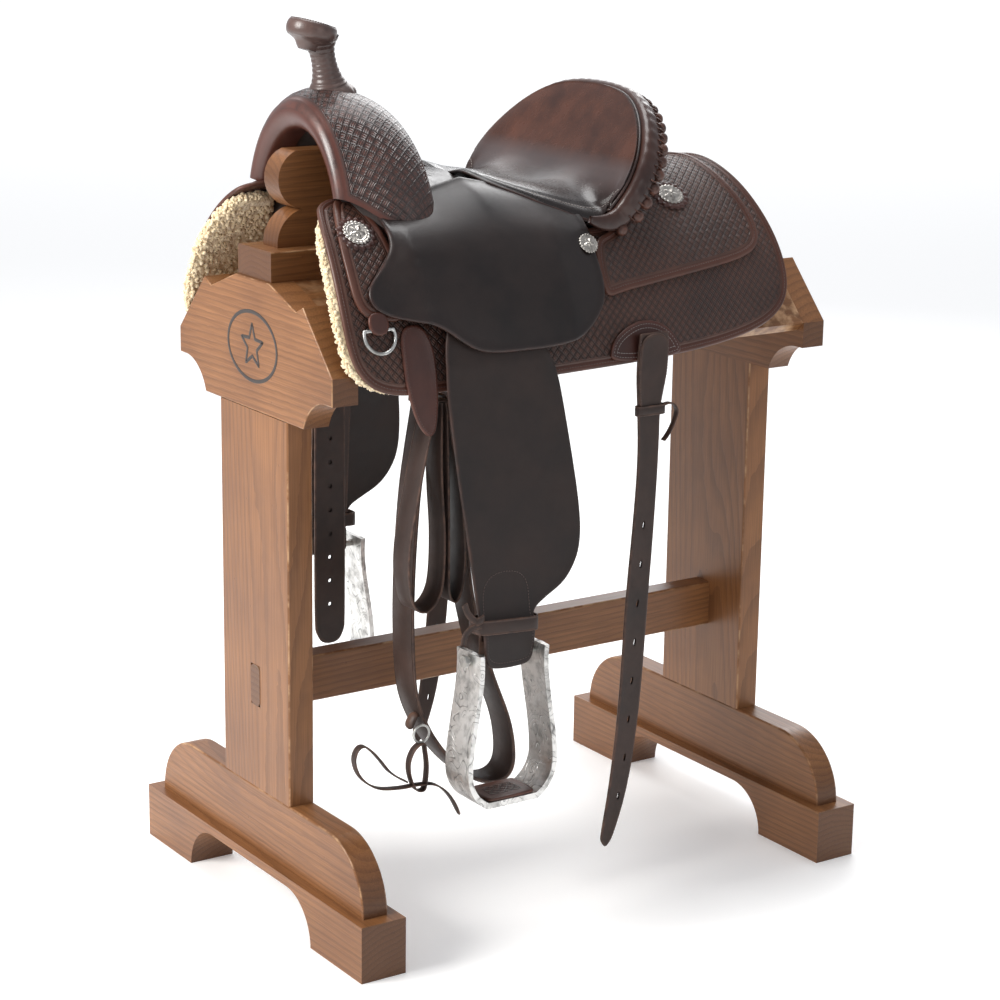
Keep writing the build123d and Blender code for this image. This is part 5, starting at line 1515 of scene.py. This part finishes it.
BILLET_CUT = [(48, 800), (47, 798), (43, 749), (46, 706), (50, 634), (45, 544), (35, 433), (29, 290),
              (17, 175), (3, 96), (3, 88), (10, 78), (14, 79), (25, 92), (50, 169), (65, 284),
              (73, 426), (80, 539), (84, 634), (84, 706), (93, 745), (95, 798), (94, 800)]
FOLD_CUT = [(48, 799), (44, 749), (46.5, 706), (48, 697), (66, 694), (82, 697), (83.5, 706),
            (92, 745), (94, 799)]
for side, word in SIDES:
    body = f"{word}_rear_billet"
    form = flat_form(side, 244.6)
    holes = [slot_hole(x, z, 5.5, 1.8, math.radians(80)) for x, z in
             ((31, 150), (40, 205), (45, 260), (49, 315), (52, 370), (55, 425), (59, 480), (62, 535))]
    billet = panel(f"{word}_billet_leather", BILLET_CUT, form, 0.0, 3.5, body, STRAP,
                   PLAIN_RINGS[:6], plain_relief, spacing=8.0, rounds=2, holes=holes)
    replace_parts(billet, body)
    fold = panel(f"{word}_billet_fold", FOLD_CUT, form, 3.3, 7.0, body, STRAP,
                 PLAIN_RINGS[:6], plain_relief, spacing=8.0, rounds=2)
    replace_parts(fold, body)
    for tag, line in (("left", [(46, 792), (45, 749), (49, 706), (53, 634), (49, 560)]),
                      ("right", [(92, 792), (90, 745), (81, 706), (81, 634), (77, 560)])):
        path, normals = form_line(form, smooth_line(line, 2.0), 7.0)
        keep = path[:, 2] > 700    # only on the folded top
        stitches(f"{word}_billet_{tag}_stitching", path[keep], normals[keep], body,
                         DARK_THREAD, pitch=4.0)
    loop = [(66.5 + 22.4 * c, side * (248.1 + 5.6 * s), 695.0) for c, s in squared_circle(48, 0.3, 0.6)]
    keeper = sweep(f"{word}_billet_keeper", loop, upright_section(14.0, 1.8, 2.2), body, STRAP,
                   closed=True)
    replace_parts(keeper, body)
    tail = smooth_line([(86, 699), (97, 701), (106, 698), (111.5, 689), (109, 678), (103, 666),
                        (96, 656), (90, 650)], 2.5)
    tail3 = [(x, side * 248.0, z) for x, z in tail]
    thong = sweep(f"{word}_billet_thong", tail3, upright_section(9.0, 2.4, 2.2), body, STRAP,
                  up=(0, 1, 0))
    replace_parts(thong, body)

LATIGO = (((-262, 738), (-276, 685), (-291, 615), (-303, 550), (-303, 500), (-294, 470), (-277, 462),
           (-261, 474), (-252, 500), (-250, 560), (-255, 640), (-256, 738)),
          ((-250, 738), (-240, 690), (-226, 625), (-218, 545), (-220, 495), (-228, 472), (-236, 470),
           (-242, 485), (-243, 520), (-244, 600), (-248, 738)))
for tag, line in zip(("long", "short"), LATIGO):
    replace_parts(edge_strap(f"latigo_{tag}_loop", line, 196.0, 40.0, 3.0, "latigo"), "latigo")
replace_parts(edge_strap("latigo_wrap", [(-269, 728), (-267, 738), (-256, 741), (-245, 738), (-243, 728)],
                       195.0, 42.0, 3.0, "latigo"), "latigo")
CINCH = [(-240, 735), (-255, 650), (-263, 590), (-269, 500), (-270, 420), (-266, 350), (-256, 308),
         (-234, 265), (-200, 222), (-170, 197), (-140, 186), (-118, 189), (-107, 205), (-107, 235),
         (-116, 275), (-140, 335), (-160, 390), (-176, 455), (-188, 530), (-205, 625), (-225, 735)]
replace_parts(edge_strap("flank_cinch_strap", CINCH, 140.0, 52.0, 5.0, "flank_cinch"), "flank_cinch")
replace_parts(edge_strap("cinch_wrap", [(-247, 722), (-245, 734), (-234, 738), (-223, 734), (-221, 722)],
                       139.0, 54.0, 3.4, "flank_cinch"), "flank_cinch")
TAB = [(-264, 282), (-258, 296), (-251, 302), (-262, 306), (-272, 290), (-270, 282)]
tab = panel("cinch_tab", TAB, flat_form(-1, 163.0), 0.0, 28.0, "flank_cinch", STRAP,
            PLAIN_RINGS[:4], None, rounds=2)
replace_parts(tab, "flank_cinch")
paint("connector_ring", STEEL)
BUCKLE = [(-264, 271), (-277, 266), (-285, 252), (-286, 236), (-281, 218), (-274, 207), (-264, 205),
          (-260, 214), (-258, 236), (-260, 256)]
buckle_path = [(x, -206.0, z) for x, z in smooth_line(BUCKLE, 2.5, closed=True)]
buckle = sweep("connector_buckle_loop", buckle_path, upright_section(12.0, 2.5, 2.2), "connector",
               STRAP, up=(0, 1, 0), closed=True)
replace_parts(buckle, "connector_strap")
LONG_TAIL = [(-290, 222), (-304, 231), (-318, 243), (-331, 260), (-343, 274), (-356, 284),
             (-366, 280), (-370, 266), (-364, 247), (-350, 231), (-330, 220), (-300, 215),
             (-272, 214), (-248, 210), (-230, 198), (-216, 180), (-205, 158)]
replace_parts(edge_strap("connector_tail", LONG_TAIL, 200.0, 12.0, 2.5, "connector", step=2.5,
                       pointed=True), "connector_strap")
OFF_CUT = [(-172, 745), (-172, 742), (-174, 500), (-174, 300), (-171, 286), (-160, 269), (-134, 269),
           (-124, 286), (-122, 300), (-122, 500), (-122, 742), (-122, 745)]
off_holes = [slot_hole(-148, 330 + 36 * k, 3.2, 3.2, 0) for k in range(8)]
off = panel("right_off_billet_leather", OFF_CUT, flat_form(1, 236.0), 0.0, 4.0, "off_billet", STRAP,
            PLAIN_RINGS[:6], plain_relief, spacing=8.0, rounds=2, holes=off_holes)
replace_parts(off, "right_off_billet")

make_camera()
make_studio()
